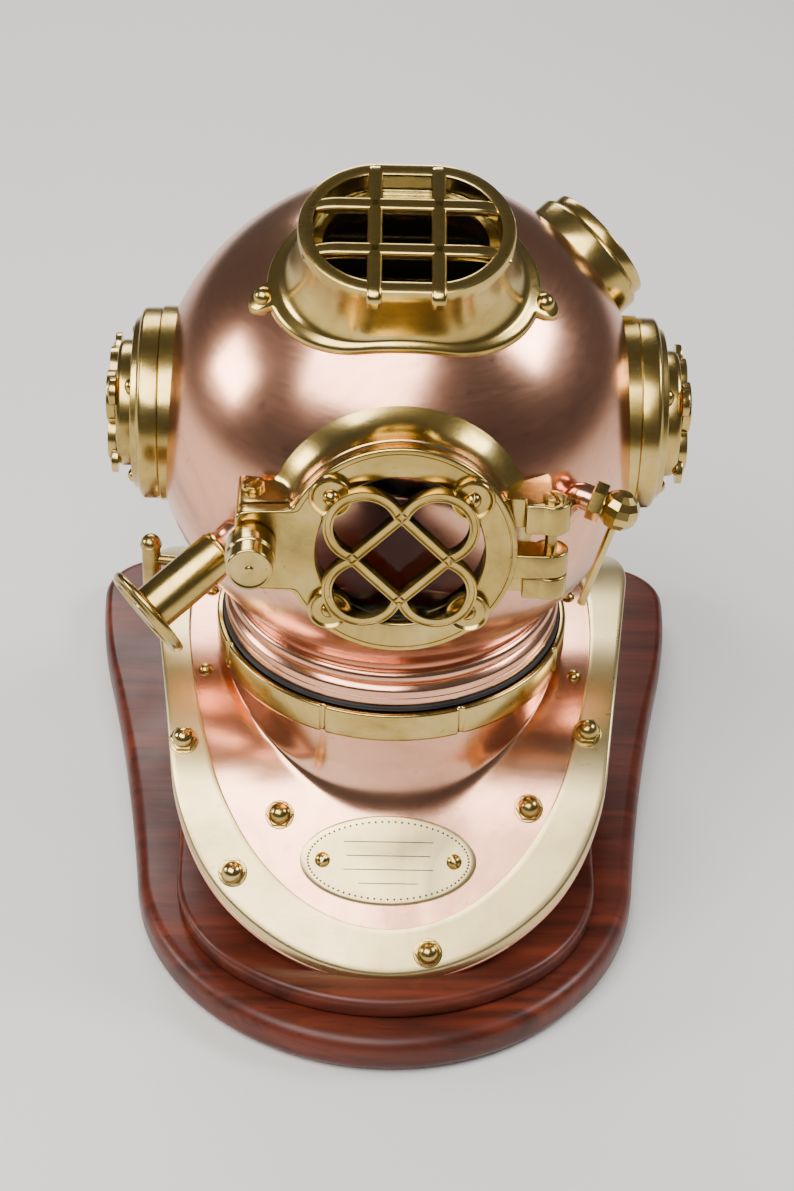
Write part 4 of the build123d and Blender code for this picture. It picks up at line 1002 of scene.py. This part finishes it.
def clover_bars(seat, share, base, thick):
    """The clover: four lobes as arcs and a diamond of bars, each a strip with both its sides raised."""
    middle, radius, wide = 11.0, 10.8, 1.6
    half = middle + np.sqrt(12.4**2 - middle**2)
    side = np.array([
        (wide, 0), (wide, thick - 0.5), (wide - 0.12, thick - 0.12), (wide - 0.42, thick),
        (wide - 0.72, thick - 0.12), (0.62, thick - 0.55),
    ])
    section = np.vstack([side * (-1, 1), [(0, thick - 0.62)], side[::-1]]) * (share, 1.0)
    lean = np.arccos((22.0 - half) / np.sqrt(2) / radius) - 0.10
    way = np.linspace(lean - np.pi, np.pi - lean, 56) + np.pi / 4
    run = np.linspace(-0.05, 1.05, 14)
    reach = share * (half - wide * np.sqrt(2))
    sheets = []
    across, along = share * (middle + radius * np.cos(way)), share * (middle + radius * np.sin(way))
    for i, j in CORNERS:
        lobe = seat.place(i * across, j * along, base)
        sheets.append(bar(carried(lobe, section, seat.out)))
        strut = seat.place(i * reach * run, j * reach * (1 - run), base)
        sheets.append(bar(carried(strut, section - (0, 0.03), seat.out)))
    return sheets


def clover_corners(seat, share, base):
    """A seat at each of the clover's four feet."""
    return [seat.shifted(share * i * 21.0, share * j * 19.5, base) for i, j in CORNERS]


def clover_feet(seat, share, base, thick):
    """The clover's four round feet: a disc with a raised rim and a sunk middle."""
    rim = [(0, 0), (6.7, 0), (6.7, 0.75), (6.4, 0.95), (5.9, 1.0), (5.5, 0.88), (5.1, 0.72)]
    profile = np.array([*rim, (2.9, 0.70), (0, 0.70)]) * (share, thick)
    return [turned(spun(place, profile, 48)) for place in clover_corners(seat, share, base)]


def clover_screws(seat, share, base, thick):
    """The screws in the clover's feet, each slot at its own angle."""
    sheets = []
    for count, place in enumerate(clover_corners(seat, share, base + thick * 0.72)):
        sheets += dome_screw(place, share * 2.6, share * 2.2, 0.5 + 0.9 * count)
    return sheets


class HELMET_OT_front(bpy.types.Operator):
    """Build the front ring, its lugs and pins, and the hinged door with its guard and clamp"""

    bl_idname = "helmet.front"
    bl_label = "Front window"

    def execute(self, context):
        angle = around(288)
        base, face = ear_reach(angle, 41.0)[:, None], ear_reach(angle, DOOR_RADIUS)[:, None]

        def sunk(reach):
            """The ball's height at a reach, a little below its face."""
            return np.sqrt(BONNET**2 - reach**2) - 0.25

        # The ring's side hollows in from its foot to its face, then the bore runs back to the ball
        rise = np.linspace(0, 1, 9)[None, :-1]
        hollow = np.minimum(rise + 0.28 * np.sin(np.pi * rise), 1.0)
        lip = np.array([(0.0, -0.3), (-0.3, 0.0)]).T
        bore = np.array([(0.5, 0.0), (0.0, -0.5), (0.0, -4.9)]).T
        under = DOOR_BORE + (base - DOOR_BORE) * np.array([[0.0, 0.5]])
        radius = [base + (face - base) * hollow, face + lip[0], 0 * face + DOOR_BORE + bore[0], under]
        height = [sunk(base) + (RING_FACE - sunk(base)) * rise]
        height += [0 * face + RING_FACE + lip[1], 0 * face + RING_FACE + bore[1], sunk(under)]
        grid = FRONT.polar(np.concatenate(radius, 1), angle[:, None], np.concatenate(height, 1))
        lugs = [eye(*span, 64.0, 80.2, 31.0, (37.2, 84.6)) for span in ((6.2, 16.0), (-16.2, -9.0))]
        dressed("front_ring", "brass", [ring(grid), *lugs])
        dressed("faceplate_seal", "rubber", [hoop(FRONT, 25.7, 35.0, RING_FACE, DOOR_BACK, 0.2, 2, 128)])
        pin = HINGE.shifted(*HINGE_PIN, 16.0)
        stem = turned(spun(pin, [(0, -33), (1.9, -33), (1.9, 0), (0, 0)], 32))
        dressed("hinge_pin", "brass", [stem, *flat_screw(pin, 3.2, 1.3, 0.5)])
        dressed("clamp_pin", "brass", flat_screw(HINGE.shifted(CLAMP_LEFT, -71.5, 13.5), 3.4, 1.3, 2.4))

        plate = ring(holed(FRONT, face[:, 0], DOOR_BORE, DOOR_BACK, DOOR_FACE, 0.7, (1.5, 0.6, 0.4)))
        dressed("faceplate", "brass", [plate, eye(-8.6, -0.7, 81.4, 85.7, 27.0)], "door")
        dressed("faceplate_glass", "pane", [plug(FRONT, 27.7, 82.3, 84.3, 0.2, 2, 96)], "door")
        retainer = hoop(FRONT, 25.5, 27.9, DOOR_BACK, 82.25, 0.15, 2, 96)
        dressed("faceplate_retainer", "brass", [retainer], "door")
        guard = clover_bars(FRONT, 1.0, DOOR_FACE + 1.4, 3.6) + clover_feet(FRONT, 1.0, DOOR_FACE, 2.6)
        dressed("faceplate_guard", "brass", guard, "door")
        dressed("faceplate_guard_screws", "brass", clover_screws(FRONT, 1.0, DOOR_FACE, 2.6), "door")

        clamp = FRONT.shifted(CLAMP_LEFT, 2.5, 0.0)
        washer = hoop(clamp, 2.6, 6.2, DOOR_FACE, 87.2, 0.3, 3, 64)
        dressed("clamp_washer", "brass", [washer], "clamp_turner")
        knob = soften(
            [
                (0, 79.0), (2.5, 79.0), (2.5, 87.2), (7.3, 87.2), (7.5, 87.6), (7.5, 95.5), (6.9, 95.9),
                (6.9, 102.0), (6.2, 102.2), (5.6, 101.9), (1.4, 102.0), (0.9, 102.35), (0, 102.4),
            ],
            (0, 0.2, 0.2, 0.4, 0.4, 0.4, 0.4, 0.5, 0.3, 0.3, 0.2, 0.2, 0), 3, False,
        )
        knob = turned(spun(clamp, knob, 80))
        made("clamp_knob_brass", [knob], "brass_polished", "clamp_screw", ["clamp_knob", "clamp_stud"])
        return {"FINISHED"}


class HELMET_OT_side_windows(bpy.types.Operator):
    """Build the two side windows: seat, stepped flange, pane, seal, bezel, guard and screws"""

    bl_idname = "helmet.side_windows"
    bl_label = "Side windows"

    def execute(self, context):
        flange = soften(
            [
                (20.3, 76.6), (31.0, 76.6), (31.0, 82.2), (30.2, 83.0), (28.6, 83.2),
                (27.2, 85.4), (20.4, 85.4), (20.3, 81.7), (17.6, 81.7), (17.6, 80.5),
            ],
            (0.3, 0.4, 0.7, 0.5, 0.5, 0.5, 0.3, 0.1, 0.2, 0.2), 3,
        )
        bezel = soften(
            [(15.5, 85.4), (20.5, 85.4), (20.5, 89.2), (19.8, SIDE_FACE), (16.6, SIDE_FACE), (15.5, 89.6)],
            (0.1, 0.2, 0.5, 0.5, 0.3, 0.3), 3,
        )
        angle = around(160)
        for hand, seat in (("left", LEFT), ("right", RIGHT)):
            slope = SIDE_LIFT * (seat.up[2] * np.sin(angle) + seat.across[2] * np.cos(angle))

            def sunk(reach, limit):
                """The ball's height at a reach from a port set above the ball's middle."""
                square = BONNET**2 - reach**2 - 2 * reach * slope - SIDE_LIFT**2
                return np.minimum(np.sqrt(np.maximum(square, 0)) - 0.1, limit)

            outer, inner = sunk(31.6, 76.2), sunk(17.5, 82.6)
            flat = np.zeros_like(angle)
            height = np.stack([outer, flat + 76.2, flat + 76.5, np.maximum(inner, 76.5), inner], 1)
            grid = seat.polar(np.array([[31.6, 31.6, 31.2, 17.5, 17.5]]), angle[:, None], height)
            guard = clover_bars(seat, SIDE_SHARE, SIDE_FACE + 0.7, 2.6)
            guard += clover_feet(seat, SIDE_SHARE, SIDE_FACE, 2.1)
            screws = []
            for turn in np.radians((45, 135, 225, 315)):
                screws += dome_screw(seat.shifted(24.0 * np.cos(turn), 24.0 * np.sin(turn), 85.4), 2.6, 2.0)
            for part, kind, sheets in (
                ("seat", "brass", [ring(grid)]),
                ("flange", "brass", [ring(spun(seat, flange, 160))]),
                ("glass", "pane", [plug(seat, 20.0, 81.75, 84.2, 0.2, 2, 80)]),
                ("seal", "rubber", [hoop(seat, 15.8, 20.0, 84.25, 85.35, 0.2, 2, 80)]),
                ("bezel", "brass", [ring(spun(seat, bezel, 128))]),
                ("guard", "brass", guard),
                ("guard_screws", "brass", clover_screws(seat, SIDE_SHARE, SIDE_FACE, 2.1)),
                ("screws", "brass", screws),
            ):
                dressed(f"{hand}_window_{part}", kind, sheets)
        return {"FINISHED"}


def stadium(angle, length, width):
    """The reach of a round-ended slot at each angle: a straight side, or the end circle's exit."""
    straight = width / 2 / np.maximum(np.abs(np.sin(angle)), 1e-9)
    middle = (length - width) / 2
    cosine = np.abs(np.cos(angle))
    ends = middle * cosine + np.sqrt(np.maximum((width / 2) ** 2 - (middle * np.sin(angle)) ** 2, 0))
    return np.where(straight * cosine < middle, straight, ends)


class HELMET_OT_top_light(bpy.types.Operator):
    """Build the top light: flared frame, pane, barred grille and two screws"""

    bl_idname = "helmet.top_light"
    bl_label = "Top light"

    def execute(self, context):
        angle = around(240)
        flange, wall = stadium(angle, 84.0, 58.0), stadium(angle, 65.0, 49.0)
        bore, ledge = stadium(angle, 56.0, 40.0), stadium(angle, 50.0, 34.0)
        screw, down = 43.0, -5.0
        ears = merged(30.0, flange, *(exit_circle(angle, (side * screw, down), 4.4) for side in (1, -1)))
        ears = np.where(np.abs(np.cos(angle)) > 0.9, ears, flange)

        def on_ball(reach, extra):
            """A reach with the height of the ball's face there, raised a little."""
            return reach, np.sqrt((BONNET + extra) ** 2 - reach**2)

        rows = [on_ball(ears, 0.05), on_ball(ears, 1.3), on_ball(ears - 0.5, 1.8)]
        # The bell: a quarter wave from the flange to the upright wall
        mid, start = on_ball(flange - 1.6, 2.1)
        rows.append((mid, start))
        for bend in np.linspace(0.12, 1, 12) * np.pi / 2:
            rows.append((mid + (wall - mid) * np.sin(bend), start + (93.0 - start) * (1 - np.cos(bend))))
        top = GRILLE_TOP
        rows += [(wall, top), (wall - 0.3, top + 0.7), (wall - 1.0, top + 1.0)]
        rows += [(bore + 1.0, top + 1.0), (bore + 0.3, top + 0.7), (bore, top), (bore, 89.0)]
        rows += [(ledge, 89.0), (ledge, 86.5), (bore, 86.5), on_ball(bore, 0.05)]
        rows += [on_ball(bore + (ears - bore) * share, 0.05) for share in (0.35, 0.7)]
        reach, height = (np.stack([0 * wall + row[k] for row in rows], 1) for k in (0, 1))
        dressed("top_light_frame", "brass", [ring(TOP.polar(reach, angle[:, None], height))])
        dressed("top_light_glass", "pane", [turned(slab(TOP, bore - 0.3, 89.0, 91.5, 0.3))])
        section = soften([(-2.3, -1.7), (2.3, -1.7), (2.3, 1.7), (-2.3, 1.7)], 1.3)
        sheets = []
        for side in (-1, 1):
            path = soften([(-25.4, 93.4), (-25.4, top), (22.6, top), (22.6, 95.0)], 3.0, 8, False)
            fine = np.linspace(0, len(path) - 1, 90)
            along, high = (np.interp(fine, np.arange(len(path)), column) for column in path.T)
            sheets.append(bar(carried(TOP.place(side * 9.5, along, high), section[:, ::-1], TOP.across)))
            across = np.linspace(-30.0, 30.0, 60)
            sag = top - 3.0 * np.clip((np.abs(across) - 20.0) / 10.0, 0, 1) ** 2
            sheets.append(bar(carried(TOP.place(across, side * 8.5, sag), section, TOP.out)))
        dressed("top_light_grille", "brass", sheets)
        screws = []
        for side in (-1, 1):
            foot = TOP.place(side * screw, down, np.sqrt((BONNET + 2.2) ** 2 - screw**2 - down**2))
            screws += dome_screw(Seat(foot, foot - CENTRE, (1, 0, 0)), 3.0, 2.6)
        dressed("top_light_screws", "brass", screws)
        return {"FINISHED"}


class HELMET_OT_fittings(bpy.types.Operator):
    """Build the exhaust cover, regulating valve, spit cock and inlet post"""

    bl_idname = "helmet.fittings"
    bl_label = "Fittings"

    def execute(self, context):
        low, inner = (np.sqrt(BONNET**2 - reach**2) - 0.1 for reach in (22.0, 14.0))
        seat = [(14.0, inner), (22.0, low), (22.0, 84.0), (21.2, 85.0), (14.0, 85.0)]
        seat = soften(seat, (0.1, 0.1, 0.5, 0.5, 0.3), 3)
        dressed("exhaust_seat", "brass", [ring(spun(EXHAUST, seat, 120))])
        angle = around(120)
        ear = np.where(np.cos(angle) > 0.5, exit_circle(angle, (19.9, 0), 3.6), 0)
        cover = merged(40.0, np.full(120, 20.0), ear)
        dressed("exhaust_cap", "brass", [turned(slab(EXHAUST, cover, 85.0, 89.2, 0.7))])
        dressed("exhaust_screw", "brass", dome_screw(EXHAUST.shifted(19.9, 0, 89.2), 2.2, 1.6, 0.7))

        carry_over("regulator_socket", "copper")
        barrel = soften(
            [
                (3.1, 12.0), (3.1, 29.0), (6.6, 29.0), (7.4, 28.4), (7.4, 1.6),
                (6.9, 1.2), (6.9, 0.7), (7.3, 0.0), (0, 0), (0, 12.0),
            ],
            (0, 0.2, 0.4, 0.4, 0.4, 0.2, 0.2, 0.2, 0, 0), 3,
        )
        dressed("regulator_barrel", "brass", [ring(spun(REGULATOR, barrel, 96))])
        wheel = soften(
            [
                (0, 17.2), (3.0, 17.2), (3.0, 29.0), (15.2, 29.0), (15.6, 29.6), (15.6, 30.6), (15.0, 31.2),
                (14.4, 32.2), (12.6, 32.2), (12.0, 31.1), (5.6, 31.0), (5.2, 32.2), (0, 32.2),
            ],
            (0, 0.2, 0.3, 0.5, 0.5, 0.5, 0.4, 0.5, 0.5, 0.4, 0.3, 0.4, 0), 3, False,
        )
        dressed("regulator_wheel", "brass", [turned(spun(REGULATOR, wheel, 112))], "regulator")

        bend = COCK.origin
        path = soften([CENTRE + (50.0, -56.5, 2.0), bend, bend + COCK.out * 4.0], 4.0, 14, False)
        dressed("spit_cock_pipe", "copper", [bar(carried(path, round_bar(4.2, 24), (0.1, 0.2, 1.0)))])
        dressed("spit_cock_nut", "brass", [turned(slab(COCK, hexagon(10.6), 4.0, 8.4, 0.5))])
        body = COCK.origin + COCK.out * (8.4 + 6.4 * np.sqrt(1 - 0.62**2))
        way = np.linspace(0, np.pi, 9)
        ball = Seat(body, -LEVER_WAY, COCK.across)
        ball = turned(spun(ball, 6.5 * np.stack([np.sin(way), np.cos(way)], 1), 10))
        collar = plug(Seat(body, COCK.out, COCK.across), 3.9, -6.0, -3.0, 0.4, 3, 32)
        dressed("spit_cock_ball", "brass", [ball, collar], "cock", 12)
        lever = [(0, 3.0), (1.35, 3.0), (1.25, 33.5), (1.45, 35.3), (0, 35.3)]
        lever = soften(lever, (0, 0, 2, 0.5, 0), 4, False)
        lever = turned(spun(Seat(body, LEVER_WAY, COCK.across), lever, 20))
        dressed("spit_cock_lever", "rod", [lever], "cock")

        post = Seat(CENTRE + (-83.0, 10.0, 0), (0, 0, 1), (1, 0, 0))
        profile = [(0, -78.0), (2.6, -78.0), (3.2, -77.0), (3.2, -60.5), (0, -60.5)]
        profile = soften(profile, (0, 0.3, 0.5, 0.2, 0), 3, False)
        dressed("inlet_post", "brass", [turned(spun(post, profile, 40))])
        cap = np.vstack([[(0, -60.5), (3.7, -60.5), (3.7, -59.6)], dome(3.6, 3.4) + (0, -59.5)])
        dressed("inlet_cap", "brass", [turned(spun(post, cap, 40))])
        carry_over("inlet_pipe", "brass")
        return {"FINISHED"}


class HELMET_PT_panel(bpy.types.Panel):
    """The helmet's operators and settings"""

    bl_idname = "HELMET_PT_panel"
    bl_label = "Diving helmet"
    bl_space_type = "VIEW_3D"
    bl_region_type = "UI"
    bl_category = "Helmet"

    def draw(self, context):
        for operator in OPERATORS:
            self.layout.operator(operator.bl_idname)
        for group in (context.scene.helmet_sizes, context.scene.helmet_finish):
            for key in group.__annotations__:
                self.layout.prop(group, key)


OPERATORS = (
    HELMET_OT_stage, HELMET_OT_base, HELMET_OT_breastplate, HELMET_OT_collar, HELMET_OT_bonnet,
    HELMET_OT_front, HELMET_OT_side_windows, HELMET_OT_top_light, HELMET_OT_fittings,
)
CLASSES = (HelmetSizes, HelmetFinish, *OPERATORS, HELMET_PT_panel)


def register():
    """Makes the panel, the operators and the settings known."""
    for part in CLASSES:
        bpy.utils.register_class(part)
    bpy.types.Scene.helmet_sizes = bpy.props.PointerProperty(type=HelmetSizes)
    bpy.types.Scene.helmet_finish = bpy.props.PointerProperty(type=HelmetFinish)


def unregister():
    """Takes them away again, the last first."""
    del bpy.types.Scene.helmet_finish
    del bpy.types.Scene.helmet_sizes
    for part in reversed(CLASSES):
        bpy.utils.unregister_class(part)


def main():
    """Runs every operator in turn."""
    register()
    for operator in OPERATORS:
        group, name = operator.bl_idname.split(".")
        getattr(getattr(bpy.ops, group), name)()


if __name__ == "__main__":
    main()
